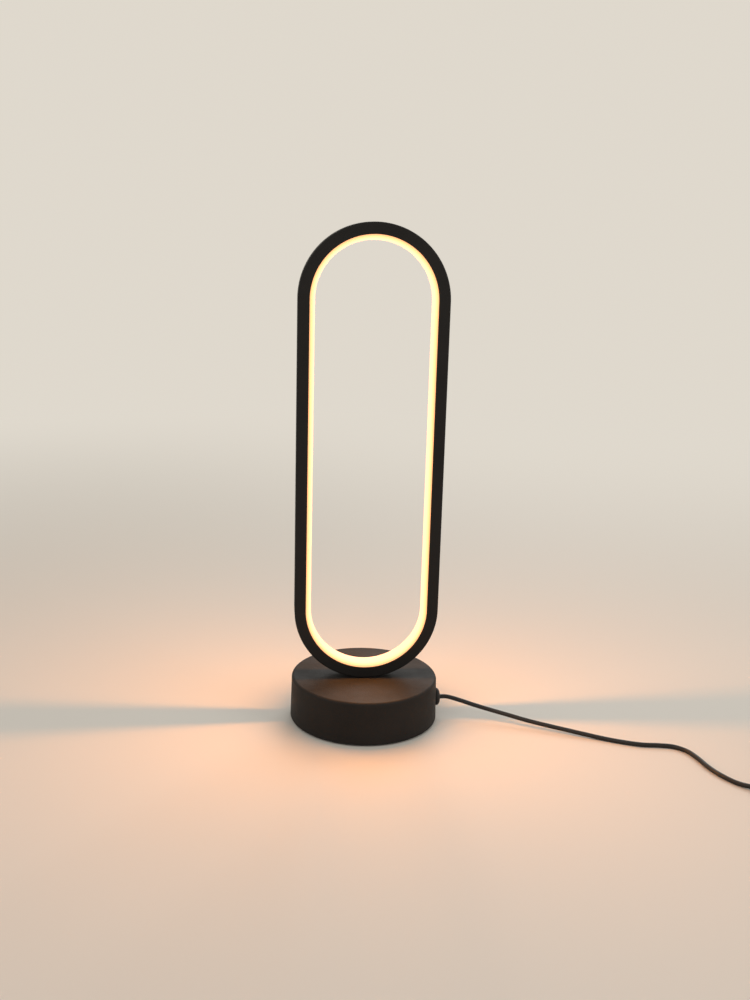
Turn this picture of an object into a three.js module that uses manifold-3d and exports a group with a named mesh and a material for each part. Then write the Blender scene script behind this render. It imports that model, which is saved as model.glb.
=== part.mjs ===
// Ring table lamp: an upright stadium-shaped ring, lit along its inner face, on a round weighted base.
// Millimetres, +Z up. The origin is the centre of the base on the surface that the lamp stands on.
// The front of the ring faces -Y, and the cord leaves the base at +X.
import * as THREE from "three";
import { mergeVertices } from "three/addons/utils/BufferGeometryUtils.js";
import Module from "manifold-3d";

const wasm = await Module();
wasm.setup();

// Driving sizes of the ring
const ringWidth = 97.2;
const ringHeight = 303.4;
const ringDepth = 14.6;
const channelDepth = 7.65;
const channelFloor = 1.2;
const channelSide = 1.1;

// Driving sizes of the light line
const domeRise = 3.4;
const domeInset = 0.4;
const diffuserWall = 1.3;
const diffuserLeg = 3.2;
const stripWidth = 10;
const stripThickness = 0.5;
const chipSize = 5;
const chipHeight = 1.6;
const chipCount = 36;

// Driving sizes of the base
const baseRadius = 50.5;
const baseDraft = 0.7;
const baseHeight = 30.2;
const baseRimLift = 1;
const baseEdgeRound = 1.8;
const baseWall = 2;
const baseTopWall = 2.6;
const bossCount = 3;
const bossRadius = 4;
const bossInset = 10;
const padInset = 4.5;
const padThickness = 1.6;
const coverThickness = 2;
const coverClearance = 0.4;
const ballastInset = 6;
const ballastThickness = 7.2;
const ballastNotchClearance = 0.5;

// Driving sizes of the screws
const coverScrew = { head: 2.75, headHeight: 1.5, shank: 1.45, length: 11, socket: 1.2, socketDepth: 0.8 };
const smallScrew = { head: 2.1, headHeight: 1.4, shank: 1.2, length: 9, socket: 0.9, socketDepth: 0.7 };
const caseScrew = { head: 1.7, headHeight: 0.8, shank: 0.85, length: 7.4, socket: 0.6, socketDepth: 0.4 };
const ballastScrewSpacing = 44;
const ballastThreadShare = 0.8;

// Driving sizes of what holds the ring on the base
const nippleRadius = 5;
const nippleBore = 3.4;
const nippleLength = 13.2;
const nutAcrossFlats = 14;
const nutThickness = 4;
const washerRadius = 7.8;
const washerThickness = 1;
const saddleLength = 18.4;
const saddleDepth = 12.4;
const saddlePocket = 0.8;
const joinerLength = 25;
const joinerThickness = 2;
const joinerSideClearance = 0.5;

// Driving sizes of the board in the base
const boardLength = 24;
const boardWidth = 20;
const boardThickness = 1.6;
const boardOffset = 24;
const boardScrewShare = 1 / 3;
const spacerRadius = 2.6;
const spacerHeight = 3;
const terminalLength = 7;
const terminalWidth = 7.2;
const terminalHeight = 6;
const driverSize = 8;
const driverHeight = 2.4;

// Driving sizes of the cord and of what it comes out of
const cordDiameter = 3;
const wireDiameter = 1;
const wirePitch = 1.8;
const wireSides = 6;
const wireSteps = { input: 14, ring: 24 };
// How far along from the cord's tail, or from a terminal, to the base's middle a lead passes its points.
const inputLeadShares = { leave: 0.85, middle: 0.5, arrive: 0.85 };
const ringLeadShares = { leave: 0.85, turn: 0.7 };
// The ring's leads in its foot, as shares of the opening in the light strip, the last two past its end.
const ringFootShares = { over: [0.2, 0.6], step: 0.95, onStrip: [1.25, 1.35] };
const grommetRadius = 6;
const grommetRise = 3;
const grommetNeck = 4.2;
const grommetFlange = 1.4;
const tailLength = 27;
const clampLength = 6;
const clampWidth = 17;
const clampBridge = 2;
const clampInset = 14;

// Driving sizes of the coil
const coilPasses = 4;
const coilTurnsPerPass = 2.75;
const coilMeanRadius = 16.5;
const coilTurnGap = 0.55;
const coilCentreX = 304;
const coilCentreY = -84;
const tieThickness = 0.6;
const tieWidth = 5;
const tieClearance = 0.4;
const tieAngleShare = 0.62;

// Driving sizes of the switch on the cord
const caseLength = 46;
const caseWidth = 19;
const caseHeight = 10.5;
const caseWall = 1.4;
const caseCorner = 5;
const caseEdge = 1;
const caseSplit = 5.4;
const caseCentreX = 279;
const caseCentreY = -124;
const buttonRadius = 3.8;
const buttonLip = 0.7;
const buttonLipThickness = 0.8;
const buttonProud = 0.9;
const buttonTravel = 0.6;
const buttonPitch = 12;
const buttonDish = 0.3;
const tactSize = 6;
const tactFloor = 0.7;
const plungerRadius = 1.5;
const switchBoardEndRoom = 3.6;
const switchBoardSideRoom = 0.6;
const switchBoardThickness = 1.2;
const caseBossRadius = 2.2;
const caseBossHeight = 1.6;
const reliefLength = 10;
const reliefBaseRadius = 3.1;
const reliefTipRadius = 2.2;
const reliefNeck = 2.5;
const reliefFlange = 1.2;

// Driving sizes of the plug
const plugCentreX = 326;
const plugTailY = -36;
const plugSideCover = 0.75;
const plugFlatCover = 1.55;
const plugLength = 18;
const plugCorner = 2.6;
const plugEdge = 0.8;
const plugTailLength = 9;
const plugTailBase = 2.9;
const plugTailTip = 2.1;
const plugShellWidth = 12;
const plugShellHeight = 4.5;
const plugShellWall = 0.4;
const plugShellLength = 15;
const plugShellSeat = 3.2;
const plugWindow = 2.1;
const tongueHeight = 1.8;
const tongueSetback = 1;
const contactCount = 4;
const contactWidth = 1.1;
const contactLength = 8;
const contactThickness = 0.2;

// Clearances and how finely round shapes are cut
const gap = 0.3;
const overrun = 1;
const fuseDepth = 0.3;
const weldDistance = 0.0001;
const largeRound = 72;
const mediumRound = 24;
const smallRound = 12;
const seatRound = 192;
const ringArcSteps = 24;
const domeSteps = 6;
const edgeSteps = 4;
const extrudeArcSteps = 3;

// Sizes that follow from the driving ones
const ringRadius = ringWidth / 2;
const ringHalfStraight = (ringHeight - ringWidth) / 2;
const ringBottom = baseHeight;
const ringLowCentre = ringBottom + ringRadius;
const ringHighCentre = ringLowCentre + 2 * ringHalfStraight;
const coverBottom = padThickness;
const coverTop = coverBottom + coverThickness;
const ballastTop = coverTop + ballastThickness;
const baseTopRadius = baseRadius - baseDraft;
const bossCircleRadius = baseRadius - bossInset;
const padRadius = baseRadius - padInset;
const ballastRadius = baseRadius - ballastInset;
const shellUnderside = baseHeight - baseTopWall;
const cordRadius = cordDiameter / 2;
const cordBore = cordRadius + gap;
const cordHeight = ballastTop + gap + cordRadius;
const coilPitch = cordDiameter + coilTurnGap;
const grommetFace = baseRadius + grommetRise;
const wireRadius = wireDiameter / 2;

// Colours and finishes
const materials = {
  blackMetal: new THREE.MeshStandardMaterial({ color: 0x171615, roughness: 0.55, metalness: 0.2 }),
  steel: new THREE.MeshStandardMaterial({ color: 0xb4b6b8, roughness: 0.35, metalness: 1 }),
  iron: new THREE.MeshStandardMaterial({ color: 0x4c4a48, roughness: 0.7, metalness: 0.8 }),
  blackRubber: new THREE.MeshStandardMaterial({ color: 0x121212, roughness: 0.8, metalness: 0 }),
  blackPlastic: new THREE.MeshStandardMaterial({ color: 0x191919, roughness: 0.5, metalness: 0 }),
  greyPlastic: new THREE.MeshStandardMaterial({ color: 0x55585a, roughness: 0.5, metalness: 0 }),
  whitePlastic: new THREE.MeshStandardMaterial({ color: 0xece8df, roughness: 0.4, metalness: 0 }),
  board: new THREE.MeshStandardMaterial({ color: 0x1f5a38, roughness: 0.5, metalness: 0 }),
  brass: new THREE.MeshStandardMaterial({ color: 0xc9a75c, roughness: 0.35, metalness: 1 }),
  redWire: new THREE.MeshStandardMaterial({ color: 0xa51c1c, roughness: 0.6, metalness: 0 }),
  blackWire: new THREE.MeshStandardMaterial({ color: 0x1b1b1b, roughness: 0.6, metalness: 0 }),
  light: new THREE.MeshStandardMaterial({
    color: 0xfff4dc,
    roughness: 0.5,
    metalness: 0,
    emissive: 0xffe2b0,
    emissiveIntensity: 1,
  }),
};

for (const material of Object.values(materials)) material.flatShading = true;

// A closed three.js geometry as a solid that can be joined and cut.
// A profile that ran the other way round has its faces turned outwards.
function solid(geometry) {
  const loose = geometry.index ? geometry.toNonIndexed() : geometry;
  const bare = new THREE.BufferGeometry();
  bare.setAttribute("position", loose.getAttribute("position").clone());
  const merged = mergeVertices(bare, weldDistance);
  const corners = Uint32Array.from(merged.index.array);
  const made = (triVerts) =>
    new wasm.Manifold(
      new wasm.Mesh({ numProp: 3, vertProperties: merged.getAttribute("position").array, triVerts }),
    );
  const first = made(corners);
  return first.volume() >= 0 ? first : made(corners.reverse());
}

// The triangles of a solid, as a three.js geometry.
function geometryOf(shape) {
  const mesh = shape.getMesh();
  const geometry = new THREE.BufferGeometry();
  geometry.setAttribute("position", new THREE.BufferAttribute(mesh.vertProperties, 3));
  geometry.setIndex(new THREE.BufferAttribute(mesh.triVerts, 1));
  return geometry;
}

const lamp = new THREE.Group();

function add(name, shape, material, group = lamp) {
  const mesh = new THREE.Mesh(geometryOf(shape), material);
  mesh.name = name;
  group.add(mesh);
}

// A profile of [radius, height] turned about the Z axis.
function turned(profile, segments) {
  const points = profile.map(([radius, height]) => new THREE.Vector2(radius, height));
  return solid(new THREE.LatheGeometry(points, segments).rotateX(Math.PI / 2));
}

function disc(radius, bottom, top, segments) {
  return turned([[0, bottom], [radius, bottom], [radius, top], [0, top]], segments);
}

function tubePiece(inner, outer, bottom, top, segments) {
  const profile = [[inner, bottom], [outer, bottom], [outer, top], [inner, top], [inner, bottom]];
  return turned(profile, segments);
}

// A box from its lowest to its highest corner.
function block(low, high) {
  const size = high.map((value, i) => value - low[i]);
  const centre = high.map((value, i) => (value + low[i]) / 2);
  return solid(new THREE.BoxGeometry(...size).translate(...centre));
}

// An outline in X and Y raised from one height to another, with an optional bevel.
function raised(shape, bottom, top, bevel = 0) {
  const geometry = new THREE.ExtrudeGeometry(shape, {
    depth: top - bottom - 2 * bevel,
    bevelEnabled: bevel > 0,
    bevelThickness: bevel,
    bevelSize: bevel,
    bevelOffset: -bevel,
    bevelSegments: 1,
    curveSegments: extrudeArcSteps,
  });
  return solid(geometry.translate(0, 0, bottom + bevel));
}

function roundedRectangle(length, width, corner) {
  const x = length / 2;
  const y = width / 2;
  const shape = new THREE.Shape();
  shape.moveTo(x - corner, -y);
  shape.absarc(x - corner, corner - y, corner, -Math.PI / 2, 0);
  shape.absarc(x - corner, y - corner, corner, 0, Math.PI / 2);
  shape.absarc(corner - x, y - corner, corner, Math.PI / 2, Math.PI);
  shape.absarc(corner - x, corner - y, corner, Math.PI, (3 * Math.PI) / 2);
  shape.closePath();
  return shape;
}

function hexagon(acrossFlats) {
  const radius = acrossFlats / Math.sqrt(3);
  const shape = new THREE.Shape();
  for (let i = 0; i < 6; i++) {
    const angle = (i * Math.PI) / 3;
    const place = [radius * Math.cos(angle), radius * Math.sin(angle)];
    if (i === 0) shape.moveTo(...place);
    else shape.lineTo(...place);
  }
  shape.closePath();
  return shape;
}

// A screw with its head's face at height zero and its shank pointing up.
function screw(size, headStraight) {
  const profile = [
    [0, 0],
    [size.head, 0],
    [headStraight ? size.head : size.shank, size.headHeight],
    [size.shank, size.headHeight],
    [size.shank, size.length],
    [0, size.length],
  ];
  if (!headStraight) profile.splice(3, 1);
  const socket = raised(hexagon(2 * size.socket), -overrun, size.socketDepth);
  return turned(profile, smallRound).subtract(socket);
}

// The hole for a countersunk screw whose head is flush with height zero.
function countersink(size) {
  return turned(
    [
      [0, -overrun],
      [size.head + gap, -overrun],
      [size.head + gap, 0],
      [size.shank + gap, size.headHeight],
      [size.shank + gap, size.length + gap],
      [0, size.length + gap],
    ],
    smallRound,
  );
}

// A round tube along points, with its ends square to them.
function tubeAlong(points, diameter, sides, steps) {
  const path = new THREE.CatmullRomCurve3(points, false, "centripetal");
  const section = new THREE.Shape();
  for (let i = 0; i < sides; i++) {
    const angle = (2 * Math.PI * i) / sides;
    const place = [(diameter / 2) * Math.cos(angle), (diameter / 2) * Math.sin(angle)];
    if (i === 0) section.moveTo(...place);
    else section.lineTo(...place);
  }
  section.closePath();
  return solid(new THREE.ExtrudeGeometry(section, { steps, extrudePath: path }));
}

const at = (x, y, z) => new THREE.Vector3(x, y, z);

// Stations along the ring, from its lowest point round to the right, over the top and back.
// openLength leaves that much of the lowest stretch out, half on each side.
function ringStations(openLength) {
  const skipped = openLength / 2 / ringRadius;
  const arc = (centre, from, to) =>
    Array.from({ length: ringArcSteps + 1 }, (_, i) => ({
      centre,
      angle: from + ((to - from) * i) / ringArcSteps,
    }));
  const low = -Math.PI / 2;
  const right = arc(ringLowCentre, low + skipped, 0).filter((_, i) => i % 2 === 0);
  const left = arc(ringLowCentre, Math.PI, 2 * Math.PI + low - skipped).filter((_, i) => i % 2 === 0);
  return [...right, ...arc(ringHighCentre, 0, Math.PI), ...left];
}

// A section of [inset from the ring's outer face, depth position] carried along stations.
function ringSweep(section, stations, closed) {
  const count = section.length;
  const positions = [];
  for (const { centre, angle } of stations)
    for (const [inset, y] of section) {
      const reach = ringRadius - inset;
      positions.push(reach * Math.cos(angle), y, centre + reach * Math.sin(angle));
    }
  const faces = [];
  const rows = closed ? stations.length : stations.length - 1;
  for (let i = 0; i < rows; i++) {
    const next = (i + 1) % stations.length;
    for (let j = 0; j < count; j++) {
      const k = (j + 1) % count;
      faces.push(i * count + j, i * count + k, next * count + k);
      faces.push(i * count + j, next * count + k, next * count + j);
    }
  }
  if (!closed) {
    const outline = section.map(([inset, y]) => new THREE.Vector2(inset, y));
    const last = (stations.length - 1) * count;
    for (const [a, b, c] of THREE.ShapeUtils.triangulateShape(outline, [])) {
      faces.push(a, c, b);
      faces.push(last + a, last + b, last + c);
    }
  }
  const geometry = new THREE.BufferGeometry();
  geometry.setAttribute("position", new THREE.Float32BufferAttribute(positions, 3));
  geometry.setIndex(faces);
  return solid(geometry);
}

// The ring's pieces: channel, joiner, light strip and diffuser.
const sideInner = ringDepth / 2 - channelSide;
const joinerTopInset = channelFloor + gap + joinerThickness;
const stripInset = channelFloor + gap;
const stripTopInset = stripInset + stripThickness;
const legTipInset = channelDepth - diffuserLeg;
const domeFootInset = channelDepth + gap;
const domeHalfWidth = ringDepth / 2 - domeInset;

function ringChannel() {
  const outer = ringDepth / 2;
  const section = [
    [0, -outer],
    [channelDepth, -outer],
    [channelDepth, -sideInner],
    [channelFloor, -sideInner],
    [channelFloor, sideInner],
    [channelDepth, sideInner],
    [channelDepth, outer],
    [0, outer],
  ];
  const stations = ringStations(0).slice(0, -1);
  const hole = disc(nippleRadius + gap, ringBottom - overrun, ringBottom + channelDepth, smallRound);
  return ringSweep(section, stations, true).subtract(hole);
}

function ringJoiner() {
  const side = sideInner - joinerSideClearance;
  const section = [
    [channelFloor + gap, -side],
    [joinerTopInset, -side],
    [joinerTopInset, side],
    [channelFloor + gap, side],
  ];
  const spread = joinerLength / 2 / ringRadius;
  const stations = Array.from({ length: domeSteps + 1 }, (_, i) => ({
    centre: ringLowCentre,
    angle: -Math.PI / 2 + spread * ((2 * i) / domeSteps - 1),
  }));
  const hole = disc(nippleRadius + gap, ringBottom, ringBottom + channelDepth, smallRound);
  return ringSweep(section, stations, false).subtract(hole);
}

const stripOpenLength = joinerLength + 2 * (wireDiameter + gap);

function lightStrip() {
  const side = stripWidth / 2;
  const section = [
    [stripInset, -side],
    [stripTopInset, -side],
    [stripTopInset, side],
    [stripInset, side],
  ];
  let strip = ringSweep(section, ringStations(stripOpenLength), false);
  const reach = ringRadius - stripTopInset;
  const arcLength = Math.PI * reach;
  const straight = 2 * ringHalfStraight;
  const start = stripOpenLength / 2 + 2 * chipSize;
  const whole = 2 * arcLength + 2 * straight;
  for (let i = 0; i < chipCount; i++) {
    const along = start + ((whole - 2 * start) * i) / (chipCount - 1);
    const chip = new THREE.BoxGeometry(chipHeight + fuseDepth, chipSize, chipSize);
    chip.translate(fuseDepth / 2 - chipHeight / 2, 0, 0);
    strip = strip.add(solid(placeOnStrip(chip, along, reach, arcLength, straight)));
  }
  return strip;
}

// Turns a box that stands on the strip at the ring's right side to its place along the strip.
function placeOnStrip(geometry, along, reach, arcLength, straight) {
  const quarter = arcLength / 2;
  const up = ringLowCentre;
  if (along < quarter) {
    const angle = along / reach - Math.PI / 2;
    return geometry.translate(reach, 0, 0).rotateY(-angle).translate(0, 0, up);
  }
  if (along < quarter + straight) return geometry.translate(reach, 0, up + along - quarter);
  if (along < quarter + straight + arcLength) {
    const angle = (along - quarter - straight) / reach;
    return geometry.translate(reach, 0, 0).rotateY(-angle).translate(0, 0, ringHighCentre);
  }
  if (along < quarter + 2 * straight + arcLength) {
    const height = ringHighCentre - (along - quarter - straight - arcLength);
    return geometry.rotateY(Math.PI).translate(-reach, 0, height);
  }
  const angle = Math.PI + (along - quarter - 2 * straight - arcLength) / reach;
  return geometry.translate(reach, 0, 0).rotateY(-angle).translate(0, 0, up);
}

function lightDiffuser() {
  const legOuter = sideInner - gap;
  const legInner = legOuter - diffuserWall;
  const section = [
    [legTipInset, -legInner],
    [legTipInset, -legOuter],
    [domeFootInset, -legOuter],
    [domeFootInset, -domeHalfWidth],
  ];
  for (let i = 1; i < domeSteps; i++) {
    const angle = (Math.PI * i) / domeSteps;
    const inset = domeFootInset + (domeRise - gap) * Math.sin(angle);
    section.push([inset, -domeHalfWidth * Math.cos(angle)]);
  }
  section.push([domeFootInset, domeHalfWidth]);
  section.push([domeFootInset, legOuter]);
  section.push([legTipInset, legOuter]);
  section.push([legTipInset, legInner]);
  const innerRise = domeRise - gap - diffuserWall;
  for (const share of [1, 0, -1]) {
    const inset = domeFootInset + innerRise * Math.sqrt(1 - share * share);
    section.push([inset, legInner * share]);
  }
  return ringSweep(section, ringStations(0).slice(0, -1), true);
}

add("ring_channel", ringChannel(), materials.blackMetal);
add("ring_joiner", ringJoiner(), materials.steel);
add("led_strip", lightStrip(), materials.whitePlastic);
add("light_diffuser", lightDiffuser(), materials.light);

// The base: shell, cover, pad, ballast and their screws.
const bossAngles = Array.from({ length: bossCount }, (_, i) => Math.PI / 2 + (i * 2 * Math.PI) / bossCount);
const onCircle = (radius, angle) => [radius * Math.cos(angle), radius * Math.sin(angle)];
const shellOuterAt = (height) =>
  baseRadius - ((baseRadius - baseTopRadius) * (height - baseRimLift)) / (baseHeight - baseRimLift);
const shellInnerAt = (height) => shellOuterAt(height) - baseWall;

// A cutter along +X, through the base's side at the cord's height.
function sideHole(radius, from, to) {
  const hole = disc(radius, from, to, smallRound);
  return hole.rotate([0, 90, 0]).translate([0, 0, cordHeight]);
}

function baseShell() {
  const roundCentre = [baseTopRadius - baseEdgeRound, baseHeight - baseEdgeRound];
  const profile = [[0, baseHeight]];
  for (let i = 0; i <= edgeSteps; i++) {
    const angle = (Math.PI / 2) * (1 - i / edgeSteps);
    const [x, z] = onCircle(baseEdgeRound, angle);
    profile.push([roundCentre[0] + x, roundCentre[1] + z]);
  }
  profile.push([baseRadius, baseRimLift]);
  profile.push([baseRadius - baseWall, baseRimLift]);
  profile.push([baseTopRadius - baseWall, shellUnderside]);
  profile.push([0, shellUnderside]);
  let shell = turned(profile, largeRound);
  for (const angle of bossAngles) {
    const [x, y] = onCircle(bossCircleRadius, angle);
    const boss = disc(bossRadius, coverTop, shellUnderside + baseTopWall / 2, smallRound);
    const pilotTop = coverBottom + coverScrew.length + gap;
    const pilot = disc(coverScrew.shank + gap, coverTop - overrun, pilotTop, smallRound);
    shell = shell.add(boss.translate([x, y, 0])).subtract(pilot.translate([x, y, 0]));
  }
  const pocket = block(
    [-saddleLength / 2 - gap, -saddleDepth / 2 - gap, baseHeight - saddlePocket],
    [saddleLength / 2 + gap, saddleDepth / 2 + gap, baseHeight + overrun],
  );
  const nippleHole = disc(nippleRadius + gap, shellUnderside - overrun, baseHeight, smallRound);
  const cordHole = sideHole(grommetNeck + gap, baseRadius - 2 * baseWall, baseRadius + overrun);
  return shell.subtract(pocket).subtract(nippleHole).subtract(cordHole);
}

const ballastScrewPlaces = [-1, 1].map((side) => [0, (side * ballastScrewSpacing) / 2]);

function baseCover() {
  let cover = disc(shellInnerAt(coverTop) - coverClearance, coverBottom, coverTop, largeRound);
  for (const angle of bossAngles) {
    const [x, y] = onCircle(bossCircleRadius, angle);
    cover = cover.subtract(countersink(coverScrew).translate([x, y, coverBottom]));
  }
  for (const [x, y] of ballastScrewPlaces)
    cover = cover.subtract(countersink(coverScrew).translate([x, y, coverBottom]));
  return cover;
}

const ballastScrew = { ...coverScrew, length: coverThickness + ballastThickness * ballastThreadShare };
const clampCentreX = baseRadius - baseWall - clampInset;
const clampScrewY = (clampWidth / 2 + cordBore) / 2;
const clampScrewPlaces = [-1, 1].map((side) => [clampCentreX, side * clampScrewY]);
const boardEdge = boardLength / 2 - boardOffset;
const boardScrewPlaces = [
  [-boardOffset - boardLength * boardScrewShare, boardWidth * boardScrewShare],
  [boardEdge - terminalLength / 2, 0],
];
const clampTop = cordHeight + cordBore + clampBridge;
const boardBottom = ballastTop + spacerHeight;
const boardTop = boardBottom + boardThickness;

function ballastWeight() {
  let ballast = disc(ballastRadius, coverTop, ballastTop, largeRound);
  for (const angle of bossAngles) {
    const [x, y] = onCircle(bossCircleRadius, angle);
    const notch = disc(
      bossRadius + ballastNotchClearance,
      coverTop - overrun,
      ballastTop + overrun,
      smallRound,
    );
    ballast = ballast.subtract(notch.translate([x, y, 0]));
  }
  for (const [x, y] of ballastScrewPlaces) {
    const pilotTop = coverBottom + ballastScrew.length + gap;
    const pilot = disc(ballastScrew.shank + gap, coverTop - overrun, pilotTop, smallRound);
    ballast = ballast.subtract(pilot.translate([x, y, 0]));
  }
  for (const [x, y] of [...clampScrewPlaces, ...boardScrewPlaces]) {
    const pilot = disc(smallScrew.shank + gap, coverTop + overrun, ballastTop + overrun, smallRound);
    ballast = ballast.subtract(pilot.translate([x, y, 0]));
  }
  return ballast;
}

add("base_shell", baseShell(), materials.blackMetal);
add("base_cover", baseCover(), materials.steel);
add("foot_pad", disc(padRadius, 0, padThickness, largeRound), materials.blackRubber);
add("ballast_weight", ballastWeight(), materials.iron);
bossAngles.forEach((angle, i) => {
  const [x, y] = onCircle(bossCircleRadius, angle);
  add(`cover_screw_${i + 1}`, screw(coverScrew, false).translate([x, y, coverBottom]), materials.steel);
});
ballastScrewPlaces.forEach(([x, y], i) => {
  add(`ballast_screw_${i + 1}`, screw(ballastScrew, false).translate([x, y, coverBottom]), materials.steel);
});

// What fastens the ring: nipple, nut, washer and saddle.
const nippleTop = ringBottom + joinerTopInset;
const washerTop = shellUnderside - gap;
const nutTop = washerTop - washerThickness;
const nippleBottom = nippleTop - nippleLength;

function ringSaddle() {
  const low = baseHeight - saddlePocket;
  const saddle = block(
    [-saddleLength / 2, -saddleDepth / 2, low],
    [saddleLength / 2, saddleDepth / 2, baseHeight + baseTopWall],
  );
  const seat = disc(ringRadius + gap, -saddleDepth, saddleDepth, seatRound);
  const nippleHole = disc(nippleRadius + gap, low - overrun, baseHeight + overrun, smallRound);
  return saddle.subtract(seat.rotate([90, 0, 0]).translate([0, 0, ringLowCentre])).subtract(nippleHole);
}

function nippleNut() {
  const nut = raised(hexagon(nutAcrossFlats), nutTop - nutThickness, nutTop);
  const low = nutTop - nutThickness - overrun;
  return nut.subtract(disc(nippleRadius + gap, low, nutTop + overrun, smallRound));
}

add(
  "threaded_nipple",
  tubePiece(nippleBore, nippleRadius, nippleBottom, nippleTop, smallRound),
  materials.steel,
);
add("nipple_nut", nippleNut(), materials.steel);
add(
  "lock_washer",
  tubePiece(nippleRadius + gap, washerRadius, nutTop, washerTop, smallRound),
  materials.steel,
);
add("ring_saddle", ringSaddle(), materials.blackRubber);

// Grommet, cord tail and clamp.
function alongX(profile, segments) {
  return turned(profile, segments).rotate([0, 90, 0]);
}

function cableGrommet() {
  const wallOutside = shellOuterAt(cordHeight - grommetRadius) + gap;
  const wallInside = Math.sqrt(shellInnerAt(cordHeight + grommetRadius) ** 2 - grommetRadius ** 2) - gap;
  const profile = [
    [cordBore, wallInside - grommetFlange],
    [grommetRadius, wallInside - grommetFlange],
    [grommetRadius, wallInside],
    [grommetNeck, wallInside],
    [grommetNeck, wallOutside],
  ];
  const rise = grommetFace - wallOutside;
  for (let i = 0; i <= edgeSteps; i++) {
    const angle = ((Math.PI / 2) * i) / (edgeSteps + 1);
    profile.push([grommetRadius * Math.cos(angle), wallOutside + rise * Math.sin(angle)]);
  }
  profile.push([cordBore, grommetFace]);
  profile.push(profile[0]);
  return alongX(profile, mediumRound).translate([0, 0, cordHeight]);
}

const tailOuter = grommetFace;
const tailInner = tailOuter - tailLength;

function cordTail() {
  return alongX(
    [
      [0, tailInner],
      [cordRadius, tailInner],
      [cordRadius, tailOuter],
      [0, tailOuter],
    ],
    smallRound / 2,
  ).translate([0, 0, cordHeight]);
}

function cordClamp() {
  const low = clampCentreX - clampLength / 2;
  const high = clampCentreX + clampLength / 2;
  const side = clampWidth / 2;
  let clamp = block([low, -side, ballastTop], [high, side, clampTop]);
  clamp = clamp.subtract(sideHole(cordBore, low - overrun, high + overrun));
  const slot = block(
    [low - overrun, -cordBore, ballastTop - overrun],
    [high + overrun, cordBore, cordHeight],
  );
  clamp = clamp.subtract(slot);
  for (const [x, y] of clampScrewPlaces) {
    const hole = disc(smallScrew.shank + gap, ballastTop - overrun, clampTop + overrun, smallRound);
    clamp = clamp.subtract(hole.translate([x, y, 0]));
  }
  return clamp;
}

// A cheese-headed screw driven downwards, its head resting on the given height.
function screwDown(size, seat) {
  return screw(size, true)
    .rotate([180, 0, 0])
    .translate([0, 0, seat + size.headHeight]);
}

add("cable_grommet", cableGrommet(), materials.blackRubber);
add("cord_tail", cordTail(), materials.blackRubber);
add("cord_clamp", cordClamp(), materials.greyPlastic);
clampScrewPlaces.forEach(([x, y], i) => {
  add(`clamp_screw_${i + 1}`, screwDown(smallScrew, clampTop).translate([x, y, 0]), materials.steel);
});

// The junction board on its spacers, with its terminals.
const terminalY = boardWidth / 2 - terminalWidth / 2;

function junctionBoard() {
  let board = block(
    [-boardOffset - boardLength / 2, -boardWidth / 2, boardBottom],
    [boardEdge, boardWidth / 2, boardTop],
  );
  for (const side of [-1, 1]) {
    const y = side * terminalY;
    const terminal = block(
      [boardEdge - terminalLength, y - terminalWidth / 2, boardTop - fuseDepth],
      [boardEdge, y + terminalWidth / 2, boardTop + terminalHeight],
    );
    board = board.add(terminal);
  }
  const driver = block(
    [-boardOffset - driverSize, -driverSize / 2, boardTop - fuseDepth],
    [-boardOffset, driverSize / 2, boardTop + driverHeight],
  );
  board = board.add(driver);
  for (const [x, y] of boardScrewPlaces) {
    const hole = disc(smallScrew.shank + gap, boardBottom - overrun, boardTop + terminalHeight, smallRound);
    board = board.subtract(hole.translate([x, y, 0]));
  }
  return board;
}

add("junction_board", junctionBoard(), materials.board);
boardScrewPlaces.forEach(([x, y], i) => {
  const spacer = tubePiece(smallScrew.shank + gap, spacerRadius, ballastTop, boardBottom, smallRound);
  add(`board_spacer_${i + 1}`, spacer.translate([x, y, 0]), materials.brass);
  add(`board_screw_${i + 1}`, screwDown(smallScrew, boardTop).translate([x, y, 0]), materials.steel);
});

// The leads: from the cord's tail to one terminal, and from the other up into the ring.
const wireTerminalHeight = boardTop + terminalHeight / 2;
const wireHalfPitch = wirePitch / 2;
const nutCorner = nutAcrossFlats / Math.sqrt(3);

function inputWire(side) {
  const y = side * wireHalfPitch;
  const terminal = -terminalY + side * wirePitch;
  const start = tailInner - gap;
  const end = boardEdge + gap;
  const points = [
    at(start, y / 2 + side * wireRadius / 2, cordHeight),
    at(start * inputLeadShares.leave, y, cordHeight),
    at(start * inputLeadShares.middle, (y + terminal) / 2, cordHeight),
    at(0, terminal, cordHeight),
    at(end * inputLeadShares.middle, terminal, (cordHeight + wireTerminalHeight) / 2),
    at(end * inputLeadShares.arrive, terminal, wireTerminalHeight),
    at(end, terminal, wireTerminalHeight),
  ];
  return tubeAlong(points, wireDiameter, wireSides, wireSteps.input);
}

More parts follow.
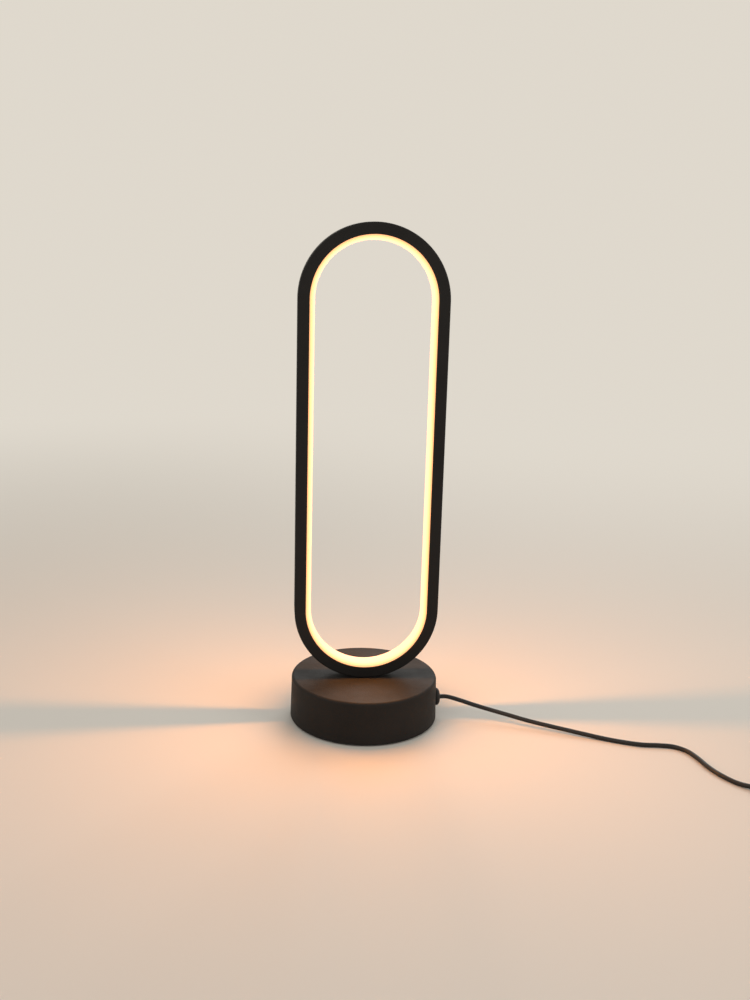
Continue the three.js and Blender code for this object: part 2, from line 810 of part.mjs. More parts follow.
function ringWire(side) {
  const y = side * wireHalfPitch;
  const terminal = terminalY + side * wirePitch;
  const start = boardEdge + gap;
  const onArc = (angleShare, inset) => {
    const angle = (stripOpenLength / 2 / ringRadius) * angleShare - Math.PI / 2;
    const reach = ringRadius - inset;
    return at(reach * Math.cos(angle), y, ringLowCentre + reach * Math.sin(angle));
  };
  const overJoiner = joinerTopInset + wireDiameter + gap;
  const onStrip = stripTopInset + wireRadius + gap;
  const underNipple = nippleBottom - wireDiameter;
  const points = [
    at(start, terminal, wireTerminalHeight),
    at(start * ringLeadShares.leave, terminal, wireTerminalHeight),
    at(-nutCorner - wireDiameter, terminal, underNipple),
    at(-nippleBore * ringLeadShares.turn, (2 * y + terminal) / 3, underNipple),
    at(0, y, nippleBottom + wireDiameter),
    at(0, y, baseHeight),
    at(0, y, nippleTop - wireDiameter),
    ...ringFootShares.over.map((share) => onArc(share, overJoiner)),
    onArc(ringFootShares.step, overJoiner - wireRadius / 2),
    ...ringFootShares.onStrip.map((share) => onArc(share, onStrip)),
  ];
  return tubeAlong(points, wireDiameter, wireSides, wireSteps.ring);
}

add("input_wire_red", inputWire(1), materials.redWire);
add("input_wire_black", inputWire(-1), materials.blackWire);
add("ring_wire_red", ringWire(1), materials.redWire);
add("ring_wire_black", ringWire(-1), materials.blackWire);

// The switch on the cord: two case halves, board, three buttons, two strain reliefs and two screws.
const switchGroup = new THREE.Group();
switchGroup.position.set(caseCentreX, caseCentreY, 0);
lamp.add(switchGroup);

const reliefHeight = caseHeight / 2;
const switchBoardLength = caseLength - 2 * (caseWall + switchBoardEndRoom);
const switchBoardWidth = caseWidth - 2 * (caseWall + switchBoardSideRoom);
const switchBoardBottom = caseWall + caseBossHeight;
const switchBoardTop = switchBoardBottom + switchBoardThickness;
const buttonLipTop = caseHeight - caseWall - gap;
const buttonLipBottom = buttonLipTop - buttonLipThickness;
const buttonTop = caseHeight + buttonProud;
const plungerTop = buttonLipBottom - gap;
const tactTop = buttonLipBottom - buttonTravel - 2 * gap;
const tactWellBottom = switchBoardTop + tactFloor;
const plungerBottom = tactWellBottom + gap + buttonTravel;
const buttonPlaces = [-1, 0, 1].map((side) => side * buttonPitch);
const caseBossOffset = caseWidth / 2 - caseWall - caseBossRadius - gap;
const caseScrewPlaces = [
  [buttonPitch / 2, -caseBossOffset],
  [-buttonPitch / 2, caseBossOffset],
];
const caseHeadSink = caseScrew.headHeight + gap;
const caseOutline = roundedRectangle(caseLength, caseWidth, caseCorner);
const caseInside = roundedRectangle(
  caseLength - 2 * caseWall,
  caseWidth - 2 * caseWall,
  caseCorner - caseWall,
);

function caseHalf(bottom, top) {
  const whole = raised(caseOutline, 0, caseHeight, caseEdge);
  const slice = block([-caseLength, -caseWidth, bottom], [caseLength, caseWidth, top]);
  const hollow = raised(caseInside, caseWall, caseHeight - caseWall);
  const ends = disc(reliefNeck + gap, -caseLength, caseLength, smallRound)
    .rotate([0, 90, 0])
    .translate([0, 0, reliefHeight]);
  return whole.intersect(slice).subtract(hollow).subtract(ends);
}

function caseBottom() {
  let half = caseHalf(-overrun, caseSplit);
  for (const [x, y] of caseScrewPlaces) {
    const boss = disc(caseBossRadius, caseWall / 2, switchBoardBottom, smallRound);
    const hole = disc(caseScrew.shank + gap, -overrun, caseSplit, smallRound);
    const sink = disc(caseScrew.head + gap, -overrun, caseHeadSink, smallRound);
    half = half.add(boss.translate([x, y, 0]));
    half = half.subtract(hole.translate([x, y, 0])).subtract(sink.translate([x, y, 0]));
  }
  return half;
}

function caseTop() {
  let half = caseHalf(caseSplit + gap, caseHeight + overrun);
  for (const [x, y] of caseScrewPlaces) {
    const boss = disc(caseBossRadius, switchBoardTop + gap, caseHeight - caseWall / 2, smallRound);
    const pilotTop = caseHeadSink + caseScrew.length;
    const pilot = disc(caseScrew.shank + gap, switchBoardTop, pilotTop, smallRound);
    half = half.add(boss.translate([x, y, 0])).subtract(pilot.translate([x, y, 0]));
  }
  for (const x of buttonPlaces) {
    const hole = disc(buttonRadius + gap, caseHeight - 2 * caseWall, caseHeight + overrun, mediumRound);
    half = half.subtract(hole.translate([x, 0, 0]));
  }
  return half;
}

function switchBoard() {
  let board = block(
    [-switchBoardLength / 2, -switchBoardWidth / 2, switchBoardBottom],
    [switchBoardLength / 2, switchBoardWidth / 2, switchBoardTop],
  );
  for (const [x, y] of caseScrewPlaces) {
    const hole = disc(caseScrew.shank + gap, 0, caseHeight, smallRound);
    board = board.subtract(hole.translate([x, y, 0]));
  }
  return board;
}

function button() {
  const dish = buttonRadius / 2;
  return turned(
    [
      [0, buttonLipBottom],
      [buttonRadius + buttonLip, buttonLipBottom],
      [buttonRadius + buttonLip, buttonLipTop],
      [buttonRadius, buttonLipTop],
      [buttonRadius, buttonTop - buttonDish],
      [buttonRadius - buttonDish, buttonTop],
      [dish, buttonTop - buttonDish / 2],
      [0, buttonTop - buttonDish],
    ],
    mediumRound,
  );
}

function tactHousing() {
  const half = tactSize / 2;
  const housing = block([-half, -half, switchBoardTop], [half, half, tactTop]);
  const well = disc(plungerRadius + gap, tactWellBottom, tactTop + overrun, smallRound);
  return housing.subtract(well);
}

function switchRelief() {
  const wall = caseLength / 2;
  const inside = wall - caseWall - gap;
  const outside = wall + gap;
  const tip = outside + reliefLength;
  return turned(
    [
      [cordBore, inside - reliefFlange],
      [reliefBaseRadius, inside - reliefFlange],
      [reliefBaseRadius, inside],
      [reliefNeck, inside],
      [reliefNeck, outside],
      [reliefBaseRadius, outside],
      [reliefTipRadius, tip],
      [cordBore, tip],
      [cordBore, inside - reliefFlange],
    ],
    smallRound,
  ).rotate([0, 90, 0]);
}

add("switch_case_bottom", caseBottom(), materials.blackPlastic, switchGroup);
add("switch_case_top", caseTop(), materials.blackPlastic, switchGroup);
add("switch_board", switchBoard(), materials.board, switchGroup);
["dimmer", "power", "brighter"].forEach((name, i) => {
  const place = [buttonPlaces[i], 0, 0];
  const plunger = disc(plungerRadius, plungerBottom, plungerTop, smallRound);
  add(`button_${name}`, button().translate(place), materials.greyPlastic, switchGroup);
  add(`tact_switch_${name}`, tactHousing().translate(place), materials.steel, switchGroup);
  add(`tact_plunger_${name}`, plunger.translate(place), materials.blackPlastic, switchGroup);
});
[Math.PI, 0].forEach((angle, i) => {
  const relief = switchRelief().rotate([0, 0, THREE.MathUtils.radToDeg(angle)]);
  add(`switch_relief_${i + 1}`, relief.translate([0, 0, reliefHeight]), materials.blackRubber, switchGroup);
});
caseScrewPlaces.forEach(([x, y], i) => {
  const place = [x, y, caseHeadSink - caseScrew.headHeight];
  add(`switch_screw_${i + 1}`, screw(caseScrew, true).translate(place), materials.steel, switchGroup);
});

// The plug: body with its tail, metal shell, tongue and contacts, pointing along +Y.
const plugWidth = plugShellWidth + 2 * plugSideCover;
const plugHeight = plugShellHeight + 2 * plugFlatCover;
const plugAxisHeight = plugHeight / 2;
const plugFace = plugTailLength + plugLength;
const plugShellStart = plugFace - plugShellSeat;
const plugShellEnd = plugShellStart + plugShellLength;
const plugGroup = new THREE.Group();
plugGroup.position.set(plugCentreX, plugTailY, 0);
lamp.add(plugGroup);

// An outline in X and Z carried along Y, centred on the plug's axis.
function alongPlug(shape, from, to, bevel = 0) {
  return raised(shape, from, to, bevel)
    .rotate([90, 0, 0])
    .scale([1, -1, 1])
    .translate([0, 0, plugAxisHeight]);
}

function plugBody() {
  const outline = roundedRectangle(plugWidth, plugHeight, plugCorner);
  const body = alongPlug(outline, plugTailLength, plugFace, plugEdge);
  const tail = turned(
    [[0, 0], [plugTailTip, 0], [plugTailBase, plugTailLength + overrun], [0, plugTailLength + overrun]],
    smallRound,
  )
    .rotate([-90, 0, 0])
    .translate([0, 0, plugAxisHeight]);
  const seat = rectangle(plugShellWidth + 2 * gap, plugShellHeight + 2 * gap);
  return body.add(tail).subtract(alongPlug(seat, plugShellStart - gap, plugFace + overrun));
}

function rectangle(width, height) {
  const shape = new THREE.Shape();
  const x = width / 2;
  const z = height / 2;
  shape.moveTo(-x, -z).lineTo(x, -z).lineTo(x, z).lineTo(-x, z).closePath();
  return shape;
}

function plugShell() {
  const outer = alongPlug(rectangle(plugShellWidth, plugShellHeight), plugShellStart, plugShellEnd);
  const inner = alongPlug(
    rectangle(plugShellWidth - 2 * plugShellWall, plugShellHeight - 2 * plugShellWall),
    plugShellStart - overrun,
    plugShellEnd + overrun,
  );
  let shell = outer.subtract(inner);
  const y = (plugFace + plugShellEnd) / 2;
  for (const side of [-1, 1]) {
    const x = (side * plugShellWidth) / 4;
    const window = block(
      [x - plugWindow / 2, y - plugWindow / 2, 0],
      [x + plugWindow / 2, y + plugWindow / 2, plugHeight],
    );
    shell = shell.subtract(window);
  }
  return shell;
}

const tongueWidth = plugShellWidth - 2 * (plugShellWall + gap);
const tongueBottom = plugAxisHeight - plugShellHeight / 2 + plugShellWall + gap;
const tongueTop = tongueBottom + tongueHeight;

function plugTongue() {
  return block(
    [-tongueWidth / 2, plugShellStart, tongueBottom],
    [tongueWidth / 2, plugShellEnd - tongueSetback, tongueTop],
  );
}

function plugContact(i) {
  const pitch = tongueWidth / contactCount;
  const x = (i - (contactCount - 1) / 2) * pitch;
  const end = plugShellEnd - 2 * tongueSetback;
  return block(
    [x - contactWidth / 2, end - contactLength, tongueTop],
    [x + contactWidth / 2, end, tongueTop + contactThickness],
  );
}

add("plug_body", plugBody(), materials.blackRubber, plugGroup);
add("plug_shell", plugShell(), materials.steel, plugGroup);
add("plug_tongue", plugTongue(), materials.whitePlastic, plugGroup);
for (let i = 0; i < contactCount; i++)
  add(`plug_contact_${i + 1}`, plugContact(i), materials.brass, plugGroup);

// The cord's free stretches follow points chosen by hand, in millimetres.
const cordSides = 8;
const firstStretch = [
  [53.8, 0, 12.6],
  [57.6, 0, 12.6],
  [62, -1.1, 12],
  [68.3, -3.5, 10.8],
  [75, -6.2, 9.4],
  [84.9, -10.7, 7.8],
  [97.8, -17, 6.2],
  [110.5, -23.3, 4.6],
  [123, -29.5, 3.6],
  [135.5, -35.7, 2.9],
  [147.5, -41.6, 2.2],
  [158.5, -46.9, 1.6],
  [169.5, -52.2, 1.55],
  [181.1, -56.4, 1.55],
  [192, -57.8, 1.55],
  [201.5, -60.2, 1.55],
  [208.2, -66.6, 1.55],
  [211.7, -77, 1.55],
  [214, -89, 1.55],
  [218.4, -101, 1.55],
  [225.4, -111.6, 1.6],
  [234, -119.4, 3],
  [240.3, -123.2, 4.8],
  [244.5, -124, 5.25],
  [245.4, -124, 5.25],
];
const secondStretch = [
  [312.6, -124, 5.25],
  [316.5, -123.9, 5],
  [321.4, -120.8, 3.8],
  [324.4, -115, 2.7],
  [325.4, -108, 2.4],
  [325.38, -100, 2.4],
  [325.38, -92, 2.4],
  [325.38, -87.3, 2.4],
];
const lastStretch = [
  [325.38, -80.7, 13.05],
  [325.38, -76.7, 13.05],
  [325.6, -71, 12.2],
  [325.9, -63, 9.8],
  [326, -54.5, 6.9],
  [326, -47, 4.7],
  [326, -41, 3.85],
  [326, -36.3, 3.8],
];
const cordSteps = { first: 38, second: 10, last: 10 };
const toPoints = (list) => list.map((place) => at(...place));

add(
  "cord_to_switch",
  tubeAlong(toPoints(firstStretch), cordDiameter, cordSides, cordSteps.first),
  materials.blackRubber,
);
add(
  "cord_to_coil",
  tubeAlong(toPoints(secondStretch), cordDiameter, cordSides, cordSteps.second),
  materials.blackRubber,
);
add(
  "cord_to_plug",
  tubeAlong(toPoints(lastStretch), cordDiameter, cordSides, cordSteps.last),
  materials.blackRubber,
);

// The coil: one unbroken tube that spirals in and out at a steady rate, layer upon layer.
const coilSpread = coilTurnsPerPass * coilPitch;
const coilOuterRadius = coilMeanRadius + coilSpread / 2;
const coilFloor = tieThickness + gap + cordRadius;
const coilStepsPerTurn = 24;
const coilSides = 6;

// The coil's centre line at a number of turns from its start.
function coilPoint(turns) {
  const pass = Math.min(Math.floor(turns / coilTurnsPerPass), coilPasses - 1);
  const along = turns - pass * coilTurnsPerPass;
  const inward = pass % 2 === 0;
  const radius = inward
    ? coilOuterRadius - along * coilPitch
    : coilOuterRadius - coilSpread + along * coilPitch;
  const nearest = Math.round(turns / coilTurnsPerPass);
  const climb = nearest > 0 && nearest < coilPasses ? (turns - nearest * coilTurnsPerPass) * 2 + 1 / 2 : 0;
  const done = THREE.MathUtils.smoothstep(climb, 0, 1);
  const layer = nearest > 0 && nearest < coilPasses ? nearest - 1 + done : pass;
  const angle = 2 * Math.PI * turns;
  return at(
    coilCentreX + radius * Math.cos(angle),
    coilCentreY + radius * Math.sin(angle),
    coilFloor + layer * coilPitch,
  );
}

function coilPath() {
  const turns = coilPasses * coilTurnsPerPass;
  const steps = Math.round(turns * coilStepsPerTurn);
  const path = Array.from({ length: steps + 1 }, (_, i) => coilPoint((turns * i) / steps));
  const first = path[0].clone();
  const last = path[steps].clone();
  first.y -= cordDiameter;
  last.y += cordDiameter;
  return [first, ...path, last];
}

// Joins the rings of a tube along its path, each ring kept upright.
function coilTube(path) {
  const positions = [];
  path.forEach((point, i) => {
    const before = path[Math.max(i - 1, 0)];
    const after = path[Math.min(i + 1, path.length - 1)];
    const ahead = after.clone().sub(before).normalize();
    if (i < 2 || i > path.length - 3) ahead.set(0, 1, 0);
    const side = at(ahead.y, -ahead.x, 0).normalize();
    const up = side.clone().cross(ahead);
    for (let j = 0; j < coilSides; j++) {
      const angle = (2 * Math.PI * (j + 1 / 2)) / coilSides;
      const place = point.clone();
      place.addScaledVector(side, cordRadius * Math.cos(angle));
      place.addScaledVector(up, cordRadius * Math.sin(angle));
      positions.push(...place.toArray());
    }
  });
  const faces = [];
  for (let i = 0; i < path.length - 1; i++)
    for (let j = 0; j < coilSides; j++) {
      const a = i * coilSides + j;
      const b = i * coilSides + ((j + 1) % coilSides);
      faces.push(a, b, b + coilSides, a, b + coilSides, a + coilSides);
    }
  const end = (path.length - 1) * coilSides;
  for (let j = 1; j < coilSides - 1; j++) {
    faces.push(0, j + 1, j);
    faces.push(end, end + j, end + j + 1);
  }
  const geometry = new THREE.BufferGeometry();
  geometry.setAttribute("position", new THREE.Float32BufferAttribute(positions, 3));
  geometry.setIndex(faces);
  return solid(geometry);
}

function lengthOf(points) {
  return points.slice(1).reduce((sum, point, i) => sum + point.distanceTo(points[i]), 0);
}

// The least distance between the surfaces of stretches that lie more than a half turn apart.
function leastSelfGap(path) {
  const apart = Math.round(coilStepsPerTurn / 2);
  let least = Infinity;
  for (let i = 0; i < path.length; i++)
    for (let j = i + apart; j < path.length; j++) least = Math.min(least, path[i].distanceTo(path[j]));
  return least - cordDiameter;
}

const coil = coilPath();
add("cord_coil", coilTube(coil), materials.blackRubber);

// The tie: a flat band once round the coil's bundle.
function cordTie() {
  const low = coilOuterRadius - coilSpread - cordRadius - tieClearance;
  const high = coilOuterRadius + cordRadius + tieClearance;
  const top = coilFloor + (coilPasses - 1) * coilPitch + cordRadius + gap;
  const centre = (low + high) / 2;
  const inner = rectangle(high - low, top - tieThickness);
  const outer = rectangle(high - low + 2 * tieThickness, top + tieThickness);
  outer.holes.push(inner);
  const band = raised(outer, -tieWidth / 2, tieWidth / 2)
    .rotate([90, 0, 0])
    .translate([centre, 0, (top + tieThickness) / 2]);
  return band
    .rotate([0, 0, 360 * tieAngleShare])
    .translate([coilCentreX, coilCentreY, 0]);
}

add("cord_tie", cordTie(), materials.blackPlastic);

const stretches = [firstStretch, secondStretch, lastStretch].map((list) =>
  new THREE.CatmullRomCurve3(toPoints(list), false, "centripetal").getLength(),
);
console.log("cord stretches, mm: " + stretches.map((value) => value.toFixed(1)).join(", "));
console.log("coil length, mm: " + lengthOf(coil).toFixed(1));
console.log("coil's least gap to itself, mm: " + leastSelfGap(coil).toFixed(2));

export default lamp;
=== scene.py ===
import math

import bmesh
import bpy
from bpy.props import FloatProperty, FloatVectorProperty, IntProperty, PointerProperty
from mathutils import Matrix, Quaternion, Vector


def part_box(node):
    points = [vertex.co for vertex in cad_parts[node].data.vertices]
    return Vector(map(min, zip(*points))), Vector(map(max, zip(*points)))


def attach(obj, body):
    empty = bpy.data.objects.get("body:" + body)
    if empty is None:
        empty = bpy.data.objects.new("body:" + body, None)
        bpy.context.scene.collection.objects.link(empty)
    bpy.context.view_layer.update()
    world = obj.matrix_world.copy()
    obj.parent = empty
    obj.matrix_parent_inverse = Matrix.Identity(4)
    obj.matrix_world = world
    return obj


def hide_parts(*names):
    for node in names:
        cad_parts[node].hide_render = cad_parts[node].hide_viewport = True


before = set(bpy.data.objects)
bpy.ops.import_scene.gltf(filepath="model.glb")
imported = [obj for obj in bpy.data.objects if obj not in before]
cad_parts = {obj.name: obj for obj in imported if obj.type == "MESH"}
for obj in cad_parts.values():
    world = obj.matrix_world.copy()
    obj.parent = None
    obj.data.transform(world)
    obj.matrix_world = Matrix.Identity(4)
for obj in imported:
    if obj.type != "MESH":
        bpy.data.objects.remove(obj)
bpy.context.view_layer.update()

# Ring table lamp: an upright stadium-shaped ring, lit along its inner face, on a round weighted base.
# Metres, +Z up. The origin is the centre of the base on the surface that the lamp stands on.

bl_info = {
    "name": "Ring table lamp",
    "version": (1, 0, 0),
    "blender": (4, 5, 0),
    "location": "View3D > Sidebar > Ring lamp",
    "description": "Builds a lit ring table lamp with its cord, switch and plug",
    "category": "Add Mesh",
}

MM = 0.001
LAMP = "lamp"
SWITCH_NAMES = ("dimmer", "power", "brighter")
# Where the strap sits round the coil, as a share of a turn
TIE_ANGLE_SHARE = 0.62


def mm(*values):
    """Metres of some values in millimetres."""
    return tuple(value * MM for value in values)


# Sizes and colours that a user may change

def length(name, description, default):
    return FloatProperty(
        name=name, description=description, default=default * MM, min=0.0, unit="LENGTH", precision=5
    )


def colour(name, description, default):
    return FloatVectorProperty(
        name=name, description=description, default=default, size=3, min=0.0, max=1.0, subtype="COLOR"
    )


def amount(name, description, default, unit="POWER"):
    return FloatProperty(name=name, description=description, default=default, min=0.0, unit=unit)


class LampSizes(bpy.types.PropertyGroup):
    ring_width: length("Ring width", "Outer width of the upright ring", 97.2)
    ring_height: length("Ring height", "Outer height of the upright ring", 303.4)
    ring_depth: length("Ring depth", "Depth of the ring from front to back", 14.6)
    channel_depth: length("Channel depth", "How far the metal channel reaches inwards", 7.65)
    channel_floor: length("Channel floor", "Wall of the channel's floor", 1.2)
    channel_side: length("Channel side", "Wall of the channel's sides", 1.1)
    channel_edge: length("Channel edge", "Rounding of the channel's outer edges", 1.0)
    dome_foot: length("Light line foot", "Inset of the light line's foot from the ring's outside", 7.7)
    dome_rise: length("Light line rise", "How far the light line stands out of the channel", 3.35)
    dome_half: length("Light line half width", "Half of the light line's width", 6.9)
    base_radius: length("Base radius", "Radius of the base at its rim", 50.5)
    base_draft: length("Base draft", "How much smaller the base is at its top", 0.7)
    base_height: length("Base height", "Height of the base's top", 30.2)
    base_edge: length("Base edge", "Rounding of the base's top edge", 1.8)
    cord_diameter: length("Cord diameter", "Diameter of the cord", 3.0)
    case_length: length("Switch length", "Length of the switch on the cord", 46.0)
    case_width: length("Switch width", "Width of the switch on the cord", 19.0)
    case_height: length("Switch height", "Height of the switch on the cord", 10.5)
    plug_length: length("Plug length", "Length of the plug's body", 18.0)


class LampColours(bpy.types.PropertyGroup):
    coat: colour("Coat", "Powder coat of the ring and the base", (0.0125, 0.0112, 0.0102))
    rubber: colour("Rubber", "Rubber of the bush, the strain reliefs and the plug", (0.013, 0.0125, 0.012))
    cord: colour("Cord", "Jacket of the cord", (0.009, 0.0086, 0.0082))
    case: colour("Case", "Moulded case of the switch", (0.02, 0.0195, 0.019))
    buttons: colour("Buttons", "Buttons of the switch", (0.085, 0.085, 0.088))
    diffuser: colour("Diffuser", "Frosted plastic of the light line", (0.26, 0.18, 0.12))
    light_core: colour("Light core", "Middle of the light line", (1.0, 0.56, 0.38))
    light_edge: colour("Light edge", "Edges of the light line", (1.0, 0.44, 0.18))
    light_power: amount("Light strength", "Strength of the light line", 1.3, "NONE")


class StageSettings(bpy.types.PropertyGroup):
    floor: colour("Floor", "Pale floor", (0.74, 0.69, 0.61))
    horizon: colour("Background", "Pale background behind the floor", (0.74, 0.69, 0.61))
    sky: amount("Sky", "Strength of the even light all round", 0.4, "NONE")
    key: amount("Key light", "Power of the large soft light", 9.0)
    fill: amount("Fill light", "Power of the light opposite", 8.0)
    rim: amount("Back light", "Power of the light behind", 10.0)
    glow: amount("Glow", "Power of the lit ring", 1.6)
    glow_colour: colour("Glow colour", "Colour of the light that the ring gives", (1.0, 0.36, 0.06))
    turn_segments: IntProperty(
        name="Turn segments", description="Faces round a large turned piece", default=192, min=24, max=512
    )


def sizes():
    return bpy.context.scene.lamp_sizes


def colours():
    return bpy.context.scene.lamp_colours


def settings():
    return bpy.context.scene.lamp_stage


# Materials

EVEN = (1.0, 1.0, 1.0)
UNTURNED = (0.0, 0.0, 0.0)
# Most of a noise texture lies between these
NOISE_LOW, NOISE_HIGH = 0.3, 0.7


def add_node(tree, kind, inputs=None, **values):
    """A node with its own values, and each input set to a value or linked to the socket that it is given."""
    made = tree.nodes.new(kind)
    for key, value in values.items():
        setattr(made, key, value)
    for key, value in (inputs or {}).items():
        if isinstance(value, bpy.types.NodeSocket):
            tree.links.new(value, made.inputs[key])
        else:
            made.inputs[key].default_value = value
    return made


class Finish:
    """A Principled material with the nodes that feed it. Its base is a colour, or a user's colour by name."""

    def __init__(self, name, base, roughness=0.5, metallic=0.0, **sockets):
        self.base = tuple(getattr(colours(), base) if isinstance(base, str) else base)
        self.material = bpy.data.materials.new(name)
        self.material.use_nodes = True
        self.material.diffuse_color = (*self.base, 1.0)
        self.tree = self.material.node_tree
        self.shader = self.tree.nodes["Principled BSDF"]
        values = {"Base Color": (*self.base, 1.0), "Roughness": roughness, "Metallic": metallic, **sockets}
        for key, value in values.items():
            self.shader.inputs[key.replace("_", " ")].default_value = value

    def node(self, kind, inputs=None, **values):
        return add_node(self.tree, "ShaderNode" + kind, inputs, **values)

    def feed(self, socket, source):
        self.tree.links.new(source, self.shader.inputs[socket])

    def place(self, stretch=EVEN, turn=UNTURNED):
        """Object coordinates, turned and stretched."""
        inputs = {"Vector": self.node("TexCoord").outputs["Object"], "Rotation": turn, "Scale": stretch}
        return self.node("Mapping", inputs).outputs["Vector"]

    def noise(self, scale, detail=2.0, stretch=EVEN):
        inputs = {"Vector": self.place(stretch), "Scale": scale, "Detail": detail}
        return self.node("TexNoise", inputs).outputs["Fac"]

    def cells(self, scale, disorder=1.0, turn=UNTURNED):
        """Cells that lie in a turned grid where the disorder is 0."""
        inputs = {"Vector": self.place(turn=turn), "Scale": scale, "Randomness": disorder}
        return self.node("TexVoronoi", inputs).outputs["Distance"]

    def ramp(self, factor, low, high, start=NOISE_LOW, end=NOISE_HIGH):
        """A colour that goes from low to high as the factor does from start to end."""
        made = self.node("ValToRGB", {"Fac": factor})
        for element, position, shade in zip(made.color_ramp.elements, (start, end), (low, high)):
            element.position = position
            element.color = (*shade, 1.0)
        return made.outputs["Color"]

    def vary(self, scale, darker, lighter, detail=2.0):
        """Lets the base colour drift a little over the surface."""
        low, high = ([min(1.0, value * share) for value in self.base] for share in (darker, lighter))
        self.feed("Base Color", self.ramp(self.noise(scale, detail), low, high))

    def roughen(self, scale, low, high, stretch=EVEN):
        """Lets the roughness drift from low to high."""
        limits = {"From Min": NOISE_LOW, "From Max": NOISE_HIGH, "To Min": low, "To Max": high}
        spread = self.node("MapRange", {"Value": self.noise(scale, stretch=stretch), **limits})
        self.feed("Roughness", spread.outputs["Result"])

    def bump(self, height, depth, strength):
        """Raises the surface by a height from 0 to 1 times a depth in metres, over earlier bumps."""
        inputs = {"Height": height, "Distance": depth, "Strength": strength}
        for link in self.shader.inputs["Normal"].links:
            inputs["Normal"] = link.from_socket
        self.feed("Normal", self.node("Bump", inputs).outputs["Normal"])


def frosted_light(name):
    """Frosted plastic lit from inside, whitest along its middle and amber at its edges."""
    mine = colours()
    finish = Finish(name, "diffuser", 0.55, Specular_IOR_Level=0.3, Emission_Strength=mine.light_power)
    parts = finish.node("SeparateXYZ", {"Vector": finish.place()})
    away = finish.node("Math", {0: parts.outputs["Y"]}, operation="ABSOLUTE")
    share = finish.node("Math", {0: away.outputs[0], 1: sizes().dome_half}, operation="DIVIDE")
    glow = finish.ramp(share.outputs[0], mine.light_core, mine.light_edge, start=0.7, end=1.0)
    finish.feed("Emission Color", glow)
    finish.bump(finish.noise(900.0), 0.00002, 0.3)
    return finish.material


def circuit_board(name):
    """Green lacquer over copper tracks."""
    finish = Finish(name, (0.015, 0.11, 0.045))
    inputs = {"Vector": finish.place((420.0, 420.0, 420.0)), "Mortar": (0.03, 0.2, 0.08, 1.0)}
    inputs.update({"Color1": (0.01, 0.09, 0.035, 1.0), "Color2": (0.012, 0.1, 0.04, 1.0)})
    tracks = finish.node("TexBrick", inputs)
    finish.feed("Base Color", tracks.outputs["Color"])
    finish.roughen(300.0, 0.3, 0.42)
    finish.bump(tracks.outputs["Fac"], 0.00003, 0.5)
    return finish.material


def surface(base, tint, gloss, *bumps, **sockets):
    """How to make a plain finish: its base, how that varies, its roughness, its bumps and other sockets."""

    def make(name):
        finish = Finish(name, base, **sockets)
        finish.vary(*tint)
        finish.roughen(*gloss)
        for pattern, depth, strength, *values in bumps:
            finish.bump(getattr(finish, pattern)(*values), depth, strength)
        return finish.material

    return make


def moulded_plastic(base, low=0.42, high=0.55):
    """Plastic from a spark-eroded mould: a fine even grain."""
    return surface(base, (80.0, 0.9, 1.12), (300.0, low, high), ("cells", 0.00003, 0.5, 3800.0))


def wire_jacket(base):
    return surface(base, (300.0, 0.85, 1.12), (500.0, 0.38, 0.5))


# Tint and gloss are (scale, low, high), and a bump is (pattern, depth, strength, the pattern's values).
# No finish has the name of one of the frame's slots, whose own plain material would be found instead.
FINISHES = {
    # A fine orange-peel skin, satin, slightly uneven in gloss
    "powder_coat": surface(
        "coat", (40.0, 0.88, 1.14), (90.0, 0.56, 0.64),
        ("noise", 0.00016, 0.8, 1300.0, 3.0), ("noise", 0.00004, 0.6, 5200.0, 1.0),
        Specular_IOR_Level=0.16,
    ),
    "frosted_light": frosted_light,
    "moulded_rubber": surface(
        "rubber", (120.0, 0.8, 1.25), (260.0, 0.52, 0.66), ("noise", 0.00003, 0.5, 2600.0),
        Specular_IOR_Level=0.3,
    ),
    "foam_rubber": surface(
        (0.022, 0.021, 0.02), (500.0, 0.6, 1.5), (300.0, 0.82, 0.95), ("cells", 0.0002, 0.7, 1500.0)
    ),
    "cord_jacket": surface(
        "cord", (150.0, 0.8, 1.3), (400.0, 0.36, 0.48), ("noise", 0.00002, 0.5, 3500.0),
        Specular_IOR_Level=0.3,
    ),
    "case_plastic": moulded_plastic("case"),
    "button_plastic": moulded_plastic("buttons", 0.36, 0.46),
    "clamp_plastic": moulded_plastic((0.1, 0.105, 0.11)),
    "pale_plastic": moulded_plastic((0.8, 0.78, 0.72), 0.32, 0.45),
    # Zinc plate with fine drawn lines
    "plated_steel": surface(
        (0.56, 0.56, 0.55), (60.0, 0.82, 1.1), (220.0, 0.24, 0.4, (0.15, 1.0, 1.0)),
        ("noise", 0.00001, 0.35, 1800.0, 2.0, (0.05, 1.0, 1.0)),
        metallic=1.0,
    ),
    "cast_iron": surface(
        (0.09, 0.086, 0.082), (200.0, 0.6, 1.4, 4.0), (300.0, 0.6, 0.8), ("noise", 0.0001, 0.7, 900.0, 4.0),
        metallic=0.85,
    ),
    "bright_brass": surface(
        (0.72, 0.5, 0.2), (150.0, 0.85, 1.1), (400.0, 0.22, 0.36), ("noise", 0.00001, 0.3, 2400.0),
        metallic=1.0,
    ),
    "circuit_board": circuit_board,
    "red_jacket": wire_jacket((0.36, 0.012, 0.01)),
    "black_jacket": wire_jacket((0.012, 0.012, 0.012)),
    # The woven back of a hook-and-loop strap, its threads along and across it
    "strap_weave": surface(
        (0.018, 0.018, 0.019), (1500.0, 0.55, 1.7), (900.0, 0.78, 0.92),
        ("cells", 0.0003, 1.0, 1700.0, 0.12, (0.0, 0.0, -2 * math.pi * TIE_ANGLE_SHARE)),
        Sheen_Weight=0.35, Sheen_Roughness=0.5,
    ),
    "printed_mark": surface((0.62, 0.61, 0.58), (400.0, 0.9, 1.05), (500.0, 0.5, 0.62)),
}


